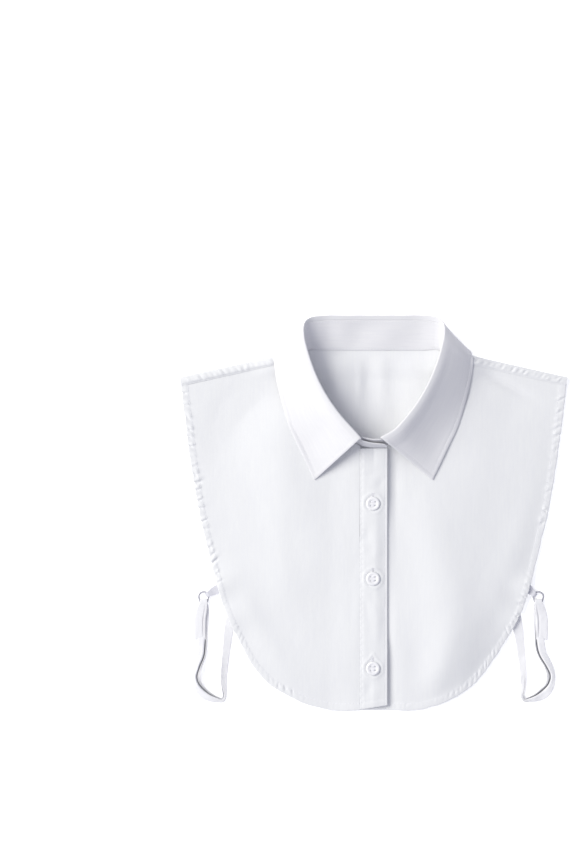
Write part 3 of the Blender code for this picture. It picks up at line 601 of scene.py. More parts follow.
def hemRelief(along, inward, seed):  # the padded turn and the groove that the stitches pull, both uneven
    held = 0.55 + 0.45 * wander(seed, along, 11)
    pad = hem["pad"] * ease(inward, -0.2, 1.8) * (1 - ease(inward, hem["width"] - 1.8, hem["width"] + 0.8))
    return pad - hem["groove"] * held * bell(inward, hem["width"], hem["grooveWide"])


hemSteps = np.array([0, 0.5, 1.1, 1.8, 2.6, 3.4, 4.2, 5, 5.6, 6, 6.3, 6.6, 7, 7.6, 8.4, 9.4, 10.6, 12.2,
                     14.2])
hemStitchColumn = -1 - 10  # hemSteps[10] is the stitch line


def rowsIn(neck, edge, shares):  # points from the neck out: at shares of the way, and then at hemSteps
    length = np.linalg.norm(edge - neck, axis=1)[:, None]
    inner = shares[None, :] * (length - hemSteps[-1] - 2)
    hemIn = np.broadcast_to(hemSteps[::-1], (len(length), len(hemSteps)))
    inward = np.concatenate([length - inner, hemIn], axis=1)
    plan = edge[:, None, :] + (neck - edge)[:, None, :] * (inward / length)[..., None]
    return length, inward, plan[..., 0], plan[..., 1]


# fronts

front = dict(
    runSteps=540, acrossSteps=44, height=0.5, starts={-1: 13.15, 1: 12.5}, seeds={-1: 11, 1: 31},
    tuckSteps=3, tuckStep=0.7,  # on under the back's shoulder flap
    calmStart=(1, 9), calmEnd=(10, 2),  # no puckers at the placket and the shoulder
    sway=1.1, waver=0.35, waverPitch=7, swayReach=3.5,  # the edge wavers with its puckers
)


def layFront(side):
    # side -1: the wearer's right, which laps over. Rows run from placket to shoulder, columns neck to hem
    spread = np.linspace(0, 1, front["runSteps"])
    neck, edge = smoothThrough(cut["neck"], spread), smoothThrough(cut["hem"], spread)
    run = runOf(edge)
    neck[0, 0] = edge[0, 0] = front["starts"][side]
    for _ in range(front["tuckSteps"]):
        neck = np.vstack([neck, neck[-1] - forward * front["tuckStep"]])
        edge = np.vstack([edge, edge[-1] - forward * front["tuckStep"]])
        run = np.append(run, run[-1] + front["tuckStep"])
    length, inward, x, y = rowsIn(neck, edge, np.linspace(0, 1, front["acrossSteps"]))
    x = x * side
    seed = front["seeds"][side]
    along, last = run[:, None], run[-1 - front["tuckSteps"]]
    calmFrom, calmTo = front["calmEnd"]
    calm = ease(along, *front["calmStart"]) * (1 - ease(along, last - calmFrom, last - calmTo))
    strong = hem["strong"]["right" if side < 0 else "left"]
    puckers = hemPuckers(along, inward, edge * (side, 1), seed, strong) * calm
    middle = frontBed(x, y) + lapRise(x) + front["height"] + frontFolds(x, y) + puckers
    middle = middle + hemRelief(along, inward, seed + 1)
    if side > 0:
        middle = middle + underDip(x, y)
    onHem = 1 - ease(inward, hem["width"], hem["width"] + 3)
    least, soft = backBed(x, y) + drape["onBack"] + drape["hemOnBack"] * onHem, drape["settle"]
    middle = least + soft * np.logaddexp(0, (middle - least) / soft)  # it never sinks into the back
    outward = (edge - neck) / length
    waver = front["waver"] * wander(seed + 2, along, front["waverPitch"]) * calm
    sway = (puckers[:, -3:-2] * front["sway"] + waver) * np.exp(-inward / front["swayReach"])
    x, y = drawIn(x + side * outward[:, None, 0] * sway, y + outward[:, None, 1] * sway)
    return np.stack([x, y, middle], axis=-1), inward


def frontWall(inward):
    pastHem = ease(inward, hem["width"] - hem["soften"], hem["width"] + hem["soften"])
    return hem["plain"] + (hem["turned"] - hem["plain"]) * (1 - pastHem)


def makeFront(name, side):
    grid, inward = layFront(side)
    piece = clothPiece(name, grid, frontWall(inward), grid[..., :2], poplin, -side)
    rows, column = np.arange(2, len(grid) - 6), grid.shape[1] + hemStitchColumn
    return piece, [seamOn(grid, -side, hem["plain"] + 0.25, rows, column)]


frontRight, rightSeams = makeFront("frontRight", -1)
frontLeft, leftSeams = makeFront("frontLeft", 1)
print("fronts laid", len(frontRight.data.polygons), len(frontLeft.data.polygons))


# back panel with its shoulder flaps

back = dict(
    runSteps=271, inset=2.4, height=0.46, wall=0.5, hemWall=0.34, sewnWalls=(0.42, 0.34, 0.28, 0.22, 0.18),
    tuckX=(58, 65), tuckIn=1.5, tuckDown=0.2,  # it goes in under the foot of the collar stand
    creases=(  # the inside of the back, seen through the neck: x, y, turn, length, width, height, bend
        (-13, 120, 88, 36, 4, 0.8, 2), (-5, 124, 91, 30, 3, -0.1), (8, 126, 91, 46, 8, 1.3),
        (-27, 122, 84, 56, 15, 2.6, 4), (32, 112, 98, 44, 8, 0.5, -3), (40, 126, 100, 40, 8, 0.6),
        (-36, 128, 80, 40, 7, 0.8)),
    leastCrease=-0.1, creaseTop=153, creaseFade=12, creaseX=(44, 60), hemShare=0.1,
    flap=7.6, flapRise=1.3, flapReaches=(6.4, 6.8, 7.2, 7.6), flapRound=0.55, flapPuff=0.35, flapPad=0.22,
    flapFine=0.15, finePitch=2.6, flapLeast=-0.55, flapClose=0.6, flapStrong=((130, 140, 90, 1.5),),
)


def layBack():
    inset = back["inset"]
    outline = [(x - inset, y + 1.5 * inset) for x, y in cut["hem"][:-1]] + [cut["shoulderTip"]]
    rim = smoothThrough([(-x, y) for x, y in outline[::-1]] + outline, np.linspace(0, 1, back["runSteps"]))
    neckX, neckY = cut["neckPoint"]
    neckRun = np.linspace(-neckX, neckX, len(rim))
    tuck = 1 - ease(np.abs(neckRun), *back["tuckX"])
    neck = np.column_stack([neckRun, neckY + back["tuckIn"] * tuck])
    shares = np.concatenate([np.linspace(0, 0.36, 40), np.linspace(0.36, 1.0, 68)[1:]])
    _, inward, x, y = rowsIn(neck, rim, shares)
    creases = np.maximum(softFolds(back["creases"], x, y), back["leastCrease"])
    middle = backBed(x, y) + back["height"]
    fade = ease(back["creaseTop"] - y, 0, back["creaseFade"])
    middle = middle + creases * fade * (1 - ease(np.abs(x), *back["creaseX"]))
    middle = middle + back["hemShare"] * hemRelief(runOf(rim)[:, None], inward, 41)
    middle = middle - back["tuckDown"] * tuck[:, None] * ease(y, neckY + 0.2, neckY + 1.2)
    main = np.stack([*drawIn(x, y), middle], axis=-1)
    rightFlap, leftFlap = layFlap(main[0], -1), layFlap(main[-1], 1)
    grid = np.concatenate([rightFlap[::-1], main, leftFlap])
    wall = back["wall"] + back["hemWall"] * (1 - ease(inward, hem["width"] - 0.6, hem["width"] + 0.8))
    flat = np.full((len(leftFlap), grid.shape[1]), back["wall"])
    sewnDown = np.array(back["sewnWalls"])[:, None]  # the sewn-down edge is pressed thin
    flat[-len(sewnDown):] = sewnDown
    return grid, np.concatenate([flat[::-1], wall, flat]), len(leftFlap)


def layFlap(edge, side):  # over the shoulder and down onto the front, where it is sewn
    start = edge[:, :2] * (side, 1)
    seam = start + forward * back["flap"]
    seamX, seamY = seam[:, 0] * side, seam[:, 1]
    top = frontBed(seamX, seamY) + frontFolds(seamX, seamY) + back["flapRise"]
    low = edge[:, 2]
    radius = (top - low) / 2
    run = runOf(start)
    ends = ease(run, 0, 10) * (1 - ease(run, run[-1] - 8, run[-1]))
    reaches = np.concatenate([np.linspace(0.5, back["flap"] - 1.6, 11), back["flapReaches"]])
    inward = np.broadcast_to(reaches, (len(run), len(reaches)))
    puckers = hemPuckers(run[:, None], inward, start, 50 + side, back["flapStrong"], back["flapClose"])
    puckers = np.maximum(puckers * ends[:, None], back["flapLeast"])
    fine = (0.5 + 0.5 * wander(70 + side, run, back["finePitch"])) * ends
    lines = []
    for angle in np.radians(np.linspace(-90, 90, 11)[1:]):
        spot = start - forward * (radius * math.cos(angle))[:, None] * back["flapRound"]
        lines.append(np.column_stack([spot * (side, 1), low + radius * (1 + math.sin(angle))]))
    puffed = back["flap"] - 1
    for reach, pucker in zip(reaches, puckers.T):
        across = math.sin(math.pi * (reach / puffed)) ** 0.7 if reach < puffed else 0.0
        height = top + (back["flapPuff"] + pucker + back["flapFine"] * fine) * across
        height = height + back["flapPad"] * math.exp(-((reach - 4) / 3) ** 2)
        height = height - (back["flapPad"] + 0.12 * fine) * float(ease(reach, 5.6, 7.6))
        lines.append(np.column_stack([(start + forward * reach) * (side, 1), height]))
    return np.array(lines)


backGrid, backWall, flapRows = layBack()
backPanel = clothPiece("backPanel", backGrid, backWall, backGrid[..., :2], poplin, -1)
flapColumns = np.arange(2, backGrid.shape[1] - 3, 0.5)
hemRows = np.arange(flapRows + 3, len(backGrid) - flapRows - 3)
backSeams = [seamOn(backGrid, -1, 0.3, row, flapColumns) for row in (2, len(backGrid) - 3)]
backSeams.append(seamOn(backGrid, 1, 0.6, hemRows, backGrid.shape[1] + hemStitchColumn))
print("back laid", len(backPanel.data.polygons))


# button stand and placket

placket = dict(
    reach=12.65, topY=60.3, footYs=(-186.8, -182.8), wall=0.9, seamWall=0.6,
    lift=0.62, foldLift=0.23, tilt=0.03, crumple=0.1, crumpleSize=9,
    standX=(-12.4, 11.75), standY=(59, -187.2), standLift=0.7,
    stitchIn=1.7, seamPull=0.07, edgePull=0.13, pullWide=0.5, hemWide=6.3, hemPad=0.2,
    ripple=0.14, ripplePitch=6.2, rippleSway=0.4, dimple=0.35, dent=0.25, swell=0.4,
    buttonX=-0.6, buttonYs=(8.3, -62.9, -147.9), holeLong=16, holeWide=0.6, holeRise=2.2,
    barFrom=8.3, barPitch=0.42, barHalf=0.5, barOff=0.55,
    hollows=(  # x, y, turn, length, width, height
        (-6.5, -22, 80, 12, 4.5, -0.55), (7, 28, 60, 11, 4.5, -0.55), (-3, 36, 20, 10, 4, -0.35),
        (-7, -92, 96, 18, 4, -0.4), (4, -100, 88, 26, 5, 0.35), (2.5, -35, 88, 22, 5, 0.45),
        (-5, -168, 70, 12, 4, -0.45), (5, 46, 4, 14, 4, 0.3)),
)


def buttonDimple(x, y):
    # the cloth is pressed in under each button and swells round it, and the lowest swell runs up to the end
    # of its buttonhole
    height = np.zeros(np.shape(x))
    for buttonY in placket["buttonYs"]:
        away, up = x - placket["buttonX"], y - buttonY
        pear = 1.0 if buttonY == min(placket["buttonYs"]) else 0.35
        narrow = 1 - 0.62 * pear * ease(up, 3, 13)
        reach = np.hypot(away / narrow, up * (1 - 0.3 * pear * ease(up, 0, 10)))
        height += placket["swell"] * bell(reach, 8.8, 1.9) - placket["dent"] * bell(reach, 6.9, 1.5)
        height -= placket["dimple"] * np.exp(-((reach / 6) ** 4))
    return height


def layPlacket():
    reach = placket["reach"]
    left = np.array([0, 0.5, 1, 1.35, 1.7, 2.05, 2.5])
    columns = np.concatenate([left, np.linspace(3.1, 22.2, 34), 2 * reach - left[::-1]]) - reach
    share = np.linspace(0, 1, 250)
    foot = np.interp(columns, (-reach, reach), placket["footYs"])
    x = np.tile(columns, (len(share), 1))
    y = placket["topY"] + (foot[None, :] - placket["topY"]) * share[:, None]
    middle = frontBed(x, y) + drape["lapRise"] + placket["lift"] + placket["foldLift"] * ease(x, -reach, -8)
    middle = middle + placket["tilt"] * (x + reach) + placketGap(y) * ease(x, 1, reach)
    middle = middle + softFolds(placket["hollows"], x, y) + buttonDimple(x, y)
    uneven = placket["crumple"] * clouds(x, y, placket["crumpleSize"], 5)
    middle = middle + uneven * ease(reach - np.abs(x), 0, 3)
    middle = middle - placket["seamPull"] * bell(x, placket["stitchIn"] - reach, placket["pullWide"])
    middle = middle - placket["edgePull"] * bell(x, reach - placket["stitchIn"], placket["pullWide"])
    turns = y / placket["ripplePitch"] + placket["rippleSway"] * wander(71, y, 18)
    ripple = placket["ripple"] * np.sin(2 * np.pi * turns) * bell(x + reach, 1, 1.6)
    up, pad = y - foot[None, :], placket["hemPad"]
    hemPad = pad * bell(up, 3, 2.4) - pad * bell(up, placket["hemWide"], 0.6)
    return np.stack([x, y, middle + ripple + hemPad], axis=-1)


def layButtonStand():
    x, y = np.meshgrid(np.linspace(*placket["standX"], 25), np.linspace(*placket["standY"], 170))
    return np.stack([x, y, frontBed(x, y) + placket["standLift"] + underDip(x, y)], axis=-1)


placketGrid = layPlacket()
fromSeam = ease(placketGrid[..., 0], -placket["reach"], -9)
placketWall = placket["seamWall"] + (placket["wall"] - placket["seamWall"]) * fromSeam
placketBand = clothPiece("placketBand", placketGrid, placketWall, placketGrid[..., :2], poplin)
standGrid = layButtonStand()
buttonStand = clothPiece("buttonStand", standGrid, placket["wall"], standGrid[..., :2], poplin)
placketRows, placketColumns = np.arange(1, len(placketGrid) - 2), placketGrid.shape[1]
footRow = stepsIn(placketGrid, placket["hemWide"], fromEnd=True)
placketSeams = [
    seamOn(placketGrid, 1, placket["seamWall"], placketRows, 4),
    seamOn(placketGrid, 1, placket["wall"], placketRows, placketColumns - 5),
    seamOn(placketGrid, 1, 0.8, footRow[2:-2], np.arange(2, placketColumns - 2)),
]


def nearestOn(grid, x, y):  # height of a grid's middle surface at a place in plan
    gap = (grid[..., 0] - x) ** 2 + (grid[..., 1] - y) ** 2
    r, c = np.unravel_index(np.argmin(gap), gap.shape)
    return grid[r, c, 2]


buttonholeSeams = []
for buttonY in placket["buttonYs"]:
    halfWide, holeY = placket["holeWide"] / 2, buttonY + placket["holeRise"]
    slot = []
    for x, y in circle(0, 0, halfWide, 20):
        endY = math.copysign(placket["holeLong"] / 2 - halfWide, y + 1e-6)
        slot.append((placket["buttonX"] + x, holeY + endY + y))
    cutThrough(placketBand, slot)
    for side in (-1, 1):  # close satin bars on both sides of each slot
        barX = placket["buttonX"] + side * (halfWide + placket["barOff"])
        for step in np.arange(-placket["barFrom"], placket["barFrom"] + 0.01, placket["barPitch"]):
            barY, half = holeY + step, placket["barHalf"]
            z = nearestOn(placketGrid, barX, barY) + placket["wall"] / 2 + 0.05
            buttonholeSeams.append([(barX - half, barY - 0.06, z), (barX + half, barY + 0.06, z)])
buttonholeStitches = sewStitches("buttonholeStitches", buttonholeSeams, 5, length=1.1, gap=0.3, radius=0.17)
print("placket made")


# collar: stand and leaf

collar = dict(
    rows=(  # roll x y z, foot x y z, edge x y z, fall, belly: front to centre back
        (12.8, 70.8, 29, 12.8, 63.9, 8.6, 55.8, 31.2, 7.6, 1.2, -2.8),
        (20.5, 79.4, 29.6, 21.8, 69, 8.6, 61.4, 42.6, 7.4, 1.2, -3.6),
        (28.8, 88.4, 30, 31.6, 78, 8.6, 68.4, 57.4, 7.1, 1.3, -4.2),
        (40.2, 103.2, 30.2, 42.4, 93, 8.6, 78.8, 79.6, 6.7, 1.4, -3),
        (50.6, 120.6, 29.8, 50.8, 108.6, 8.4, 86.6, 103.6, 6, 1.5, -1.2),
        (58.4, 138.6, 28.8, 57.4, 124.6, 7.6, 91.8, 125.2, 5.6, 1.6, 0.4),
        (63.6, 155, 27.2, 61.8, 138.6, 6.6, 93.8, 140, 6.2, 1.7, 1.4),
        (66.4, 168.6, 25, 64.2, 147.6, 5.2, 93.4, 147.8, 6.8, 2, 1.6),
        (66.2, 177.6, 21.8, 64.6, 151.6, 4.6, 90.8, 152.8, 3.4, 2.8, 0),
        (64.6, 181.2, 19.6, 63.4, 153.8, 3.5, 86, 152.6, 0.8, 3.2, -2),
        (61.4, 183.8, 17.4, 59.6, 154.4, 3, 79, 150.6, 0.6, 3.6, -3.6),
        (50.6, 186, 14.2, 50, 153.8, 3, 61, 146.4, 0.6, 4.4, -5),
        (26, 186.6, 13, 25, 153.6, 2.85, 31, 143.8, 0.6, 4.8, -5),
        (0, 186.6, 12.6, 0, 153.6, 2.85, 0, 143.2, 0.6, 4.8, -5)),
    leftRollStart=(6.6, 71.2, 28.4),
    overEnd=(  # foot x y z, top x y z: the right end of the stand, which lies outside
        (12.4, 61.7, 12.4, 12.4, 62.9, 17.6), (10.6, 61.6, 10.8, 10.9, 64.2, 21.4),
        (6.8, 61.5, 10.6, 6.8, 65, 22.6), (0, 61.5, 10.6, 0, 65.6, 23.2), (-6.6, 62, 10.6, -6.6, 66.8, 23.8)),
    underEnd=(  # and the left end, inside it
        (-12.4, 66, 10.4, -12.4, 71.6, 19.4), (-10.6, 65.4, 9.2, -10.8, 71.2, 22.6),
        (-6.8, 64.5, 8.8, -6.8, 70.2, 23.8), (0, 63.6, 8.6, 0, 69.2, 24.4),
        (6.6, 63.4, 8.6, 6.6, 69.4, 24.6)),
    toCrest=5, seamGap=0.9, rollWide=2.8, rollFlat=0.35, wall=0.95, footWall=0.3,
    edgeStitch=3.4, edgePad=0.16, edgeGroove=0.2, leafSteps=330, standSteps=360,
    least=0.62, onFront=1.6, onFlap=0.9, deepestFold=-1.2,  # heights of the leaf over what it falls on
    # the stand's waves behind the neck: x, width, height
    standWaves=((-44, 10, -0.7), (-15, 12, -1.2), (14, 13, 1.1), (46, 10, -0.5)),
    standStitches=(2.2, 17.8),  # where its two seam lines run, in steps across it
)


def collarSections(count):
    half = np.array(collar["rows"])
    left = half.copy()
    left[0, 0:3] = collar["leftRollStart"]
    right = (half * ([-1, 1, 1] * 3 + [1, 1]))[-2::-1]
    return smoothThrough(np.concatenate([left, right]), np.linspace(0, 1, count))


def crestSeam(section, gap=0.0):
    roll, foot = section[0:3], section[3:6]
    return roll + (foot - roll) / np.linalg.norm(foot - roll) * (collar["toCrest"] - gap)


def layStand():
    rows = list(collar["underEnd"])
    for section in collarSections(61):
        lifted = float(lapRise(section[0]) * (1 - ease(section[4], 90, 120)))  # only where the fronts lap
        rows.append((*(section[3:6] + (0, 0, lifted)), *crestSeam(section)))
    rows = smoothThrough(rows + list(collar["overEnd"][::-1]), np.linspace(0, 1, collar["standSteps"]))
    up = np.array([0, 0.02, 0.045, 0.07, 0.1, 0.15, 0.2, 0.28, 0.36, 0.44, 0.52, 0.6, 0.68, 0.76, 0.82, 0.87,
                   0.905, 0.935, 0.96, 0.985, 1])
    grid = rows[:, None, 0:3] + up[None, :, None] * (rows[:, None, 3:6] - rows[:, None, 0:3])
    waves = sum(rise * bell(grid[..., 0], x, wide) for x, wide, rise in collar["standWaves"])
    waves = waves * ease(grid[..., 1], 146, 156)
    return grid - gridNormals(grid, 1) * (waves * np.sin(np.pi * up)[None, :])[..., None]


def leafRest(x, y, edgeZ):  # the height that the leaf finds under it
    (neckX, neckY), (tipX, tipY) = neckPoint, shoulderTip
    foldY = neckY + (np.abs(x) - neckX) * (tipY - neckY) / (tipX - neckX)
    onFront = ease(foldY - y, -3.5, 1.5) * ease(edgeZ, 3.5, 5.5)
    onFlap = onFront * (1 - ease(foldY - y, 6, 11))
    folds = np.maximum(frontFolds(x, y), collar["deepestFold"])
    return onFront * (frontBed(x, y) + lapRise(x) + folds + collar["onFront"]) + collar["onFlap"] * onFlap


leafShares = np.concatenate([
    [0, 0.012, 0.025, 0.04, 0.055, 0.07, 0.085, 0.1, 0.115, 0.13, 0.145, 0.16, 0.18, 0.2],
    np.linspace(0.225, 0.88, 30), [0.895, 0.91, 0.925, 0.94, 0.955, 0.968, 0.98, 0.99, 1]])
overRoll = 12  # leafShares from here on lie past the roll


def layLeaf():
    sections = collarSections(collar["leafSteps"])
    lines = []
    for section in sections:
        roll, edge = section[0:3], section[6:9]
        out = edge[:2] - roll[:2]
        out /= np.linalg.norm(out)
        past = np.array([*(roll[:2] + out * collar["rollWide"]), roll[2] - collar["rollFlat"] * section[9]])
        line = [crestSeam(section, collar["seamGap"]), roll, past]
        for share in (0.25, 0.5, 0.75):
            belly = np.array([0, 0, 4 * share * (1 - share) * section[10]])
            line.append(past + share * (edge - past) + belly)
        lines.append(smoothThrough([*line, edge], leafShares))
    grid = np.array(lines)
    outer = grid[:, overRoll:]
    floorZ = np.maximum(leafRest(outer[..., 0], outer[..., 1], sections[:, 8][:, None]), collar["least"])
    outer[..., 2] = np.maximum(outer[..., 2], floorZ)
    return grid


def leafRelief(grid):  # a stitched margin: groove at the stitches, a soft pad outside them
    toEdge = np.array([runOf(line[::-1])[::-1] for line in grid])
    fromStart = np.array([runOf(grid[:, c]) for c in range(grid.shape[1])]).T
    margin = np.minimum(toEdge, np.minimum(fromStart, fromStart[-1] - fromStart))
    inset = collar["edgeStitch"]
    relief = collar["edgePad"] * ease(margin, 0, 1) * (1 - ease(margin, inset - 1, inset + 0.4))
    relief = relief - collar["edgeGroove"] * bell(margin, inset, 0.5)
    return relief * ease(toEdge[:, :1] - toEdge, 6, 12)


leafGrid = layLeaf()
leafGrid = leafGrid + gridNormals(leafGrid, -1) * leafRelief(leafGrid)[..., None]
leafSteps = np.linalg.norm(np.diff(leafGrid, axis=1), axis=2).mean(axis=0)
leafAcross = np.concatenate([[0.0], np.cumsum(leafSteps)])
leafWeave = np.stack(np.meshgrid(leafAcross, runOf(leafGrid[:, 10])), axis=-1)
collarLeaf = clothPiece("collarLeaf", leafGrid, collar["wall"], leafWeave, fused, -1)
collarStandGrid = layStand()
standSteps = np.arange(collarStandGrid.shape[1])
standAcross, standAlong = np.linspace(0, 30, len(standSteps)), runOf(collarStandGrid[:, 10])
standWeave = np.stack(np.meshgrid(standAcross, standAlong), axis=-1)
standWalls = collar["footWall"] + (collar["wall"] - collar["footWall"]) * ease(standSteps, 0, 4)
collarStand = clothPiece("collarStand", collarStandGrid, standWalls[None, :], standWeave, fused)

edgeColumn = stepsIn(leafGrid.transpose(1, 0, 2), collar["edgeStitch"], fromEnd=True)
leafRows, leafColumns = np.arange(8, len(leafGrid) - 8), np.arange(overRoll, int(edgeColumn[8]), 0.5)
leafSeams = [seamOn(leafGrid, -1, collar["wall"], leafRows, edgeColumn[leafRows])]
for atEnd in (False, True):
    rowOf = stepsIn(leafGrid, collar["edgeStitch"], fromEnd=atEnd)
    inRow = np.interp(leafColumns, np.arange(leafGrid.shape[1]), rowOf)
    leafSeams.append(seamOn(leafGrid, -1, collar["wall"], inRow, leafColumns))
leafStitches = sewStitches("leafStitches", leafSeams, 8, radius=0.15)
standRows = np.arange(70, len(collarStandGrid) - 70)
standSeams = [seamOn(collarStandGrid, -1, float(np.interp(place, standSteps, standWalls)), standRows, place)
              for place in collar["standStitches"]]
standStitches = sewStitches("standStitches", standSeams, 9, radius=0.15)
print("collar made", len(collarLeaf.data.polygons), len(collarStand.data.polygons))


# buttons: dished, with a raised round rim and four holes, sewn on through the placket

button = dict(
    holeOff=1.75, holeWide=0.7, seat=-0.05, seatReach=5, turns=72,
    strands=4, strandGap=0.3, strandWide=0.16, strandReach=2,
    arch=((-1, -0.9), (-0.92, -0.3), (-0.75, 0.05), (-0.3, 0.22), (0.3, 0.22), (0.75, 0.05), (0.92, -0.3),
          (1, -0.9)),  # share of the reach, and height
    profile=(  # radius and height, from the middle of the face round to the middle of the back
        (0, 1.12), (1.6, 1.12), (3, 1.15), (3.5, 1.24), (4, 1.44), (4.5, 1.6), (4.9, 1.66), (5.4, 1.62),
        (5.9, 1.46), (6.3, 1.18), (6.5, 0.86), (6.45, 0.56), (6.1, 0.3), (5.4, 0.12), (4.4, 0.04), (0, 0)),
)


def makeButton(number, centreY):
    x0, faceZ, off = placket["buttonX"], button["profile"][0][1], button["holeOff"]
    under = [nearestOn(placketGrid, *place) for place in circle(x0, centreY, button["seatReach"], 24)]
    seat = max(under) + placket["wall"] / 2 + button["seat"]
    turns = button["turns"]
    points = [(x0, centreY, seat + faceZ)]
    for radius, height in button["profile"][1:-1]:
        points += [(x, y, seat + height) for x, y in circle(x0, centreY, radius, turns)]
    points.append((x0, centreY, seat))
    last = len(points) - 1 - turns  # where the last ring starts
    steps = [(t, (t + 1) % turns) for t in range(turns)]
    faces = [(0, 1 + t, 1 + after) for t, after in steps]
    for a in range(1, last, turns):
        faces += [(a + t, a + turns + t, a + turns + after, a + after) for t, after in steps]
    faces += [(last + t, len(points) - 1, last + after) for t, after in steps]
    piece = meshPiece(f"button{number}", points, faces, buttonPlastic)
    for cornerX, cornerY in ((1, 1), (-1, 1), (-1, -1), (1, -1)):
        cutThrough(piece, circle(x0 + cornerX * off, centreY + cornerY * off, button["holeWide"], 20))
    strands = []
    for row in (-1, 1):
        for strand in range(button["strands"]):
            y, reach = centreY + row * off + (strand - 1.5) * button["strandGap"], button["strandReach"]
            strands.append([(x0 + reach * share, y, seat + faceZ + rise) for share, rise in button["arch"]])
    return piece, strands


buttons, buttonStrands = [], []
for number, buttonY in enumerate(placket["buttonYs"], start=1):
    made, strands = makeButton(number, buttonY)
    buttons.append(made)
    buttonStrands += strands
threadGuide = guideLines("buttonThreadLine", buttonStrands)  # round thread along each strand
threadGuide.data.bevel_depth = button["strandWide"] * mm
threadGuide.data.bevel_resolution = 2
threadGuide.data.use_fill_caps = True
buttonThread = threadOn("buttonThread", threadGuide)
print("buttons sewn on")


# side loops: a satin tab holds a coated D ring, and elastic runs from the ring round to the back panel

loop = dict(
    # x, y, underside, width, and where they aren't as in elasticPlain or tabPlain: lean, where the fold runs
    # (-1 outer edge, 1 inner edge), how deep it is
    elasticPlain=(0, 0.6, 0), tabPlain=(0, 0, 0),
    elastic=(
        (164.6, -120.8, 0.9, 9.6), (165, -112, 1.3, 10.2, 0, 0.6, 0.3), (164.8, -102, 1.7, 10.2, 0, 0.6, 0.3),
        (163.4, -94, 2.5, 9.2, 0, 0.6, 0.2), (162, -88.4, 3.5, 7.4, 0, 0.6, 0.1), (161.3, -85.4, 3.8, 6.2),
        (161.3, -83.4, 3.4, 6.2), (161.3, -82.3, 1.8, 6.2), (161.3, -83.4, 0.5, 6.2), (161.2, -85.4, 0, 6.2),
        (160.9, -89, 0, 7.8), (161, -97, 0, 9.2), (161.8, -110, 0, 9.2, 0, 0.6, 0.2),
        (162.4, -123, 0.1, 8.8, 3, 0.6, 1.1), (163.6, -135.5, 0.2, 8.2, 9, 0.6, 1.6),
        (167, -146, 0.2, 8, 14, 0.45, 1.8), (168.4, -156.5, 0.2, 8.4, 16, 0.1, 1.9),
        (166.8, -165.5, 0.2, 8.6, 9, 0.5, 1.7), (161.8, -171.6, 0.2, 9, 4, 0.6, 1.4),
        (155.4, -175.6, 0.2, 7.6, 6, 0.6, 1.4), (148.6, -177.6, 0.4, 5, 10, 0.55, 1.1),
        (143.2, -178, 0.8, 3.6, 12, 0.3, 0.8), (141.6, -174.6, 0.8, 3.8, 14, 0.3, 0.6),
        (142, -167, 0.4, 4.8, 14, 0.6, 0.3), (142.2, -158, 0.2, 5.4, 12, 0.6, 0.1),
        (141.6, -147, 0.2, 6.2, 9), (140.4, -136, 0.2, 6.8, 6), (139, -124, 0.4, 7.4, 4),
        (137.6, -112.5, 1.4, 8.6, 2), (135.2, -100, 2.1, 9.6), (132.4, -88, 2.1, 9.6)),
    tab=(
        (143.4, -70.2, 3.3, 8), (148.2, -72.8, 3.3, 7.8), (152.8, -75.4, 3.3, 6.6), (155.3, -76.8, 3.7, 5),
        (157.2, -77.9, 3.9, 4.2), (158.7, -78.7, 3.2, 4), (159.3, -79.1, 1.8, 4), (158.7, -78.7, 0.5, 4),
        (157.2, -77.9, 0, 4.2), (155.3, -76.8, 0.1, 5), (151, -74.4, 1, 7), (145.4, -71.2, 1.9, 8),
        (140, -68.1, 2, 8)),
    leftShift=-4.8, shiftX=(143, 160), shiftY=(-155, -122),  # the wearer's left ring lies nearer the front
    wall=0.7, foldWall=0.16, tabWall=0.45, crumple=0.35, tabCrumple=0.2, edgeRuffle=0.6,
    leanSway=5, widthSway=0.05, groove=1.4, grooveLift=1.1, besideGroove=0.5, acrossWeave=5,
    tightY=(128, 150),  # the bend and the bottom turn are the most crumpled
    stitchLines=(-115.3, -118.9),  # where the elastic's end is sewn down
)
ringSize = dict(x=161.3, y=-80.2, z=2.3, radius=4.7, barDrop=4.6, wire=0.95, sides=14, corner=0.9)


def leftCloser(x, y, side):
    return loop["leftShift"] * ease(x, *loop["shiftX"]) * ease(y, *loop["shiftY"]) * (side > 0)


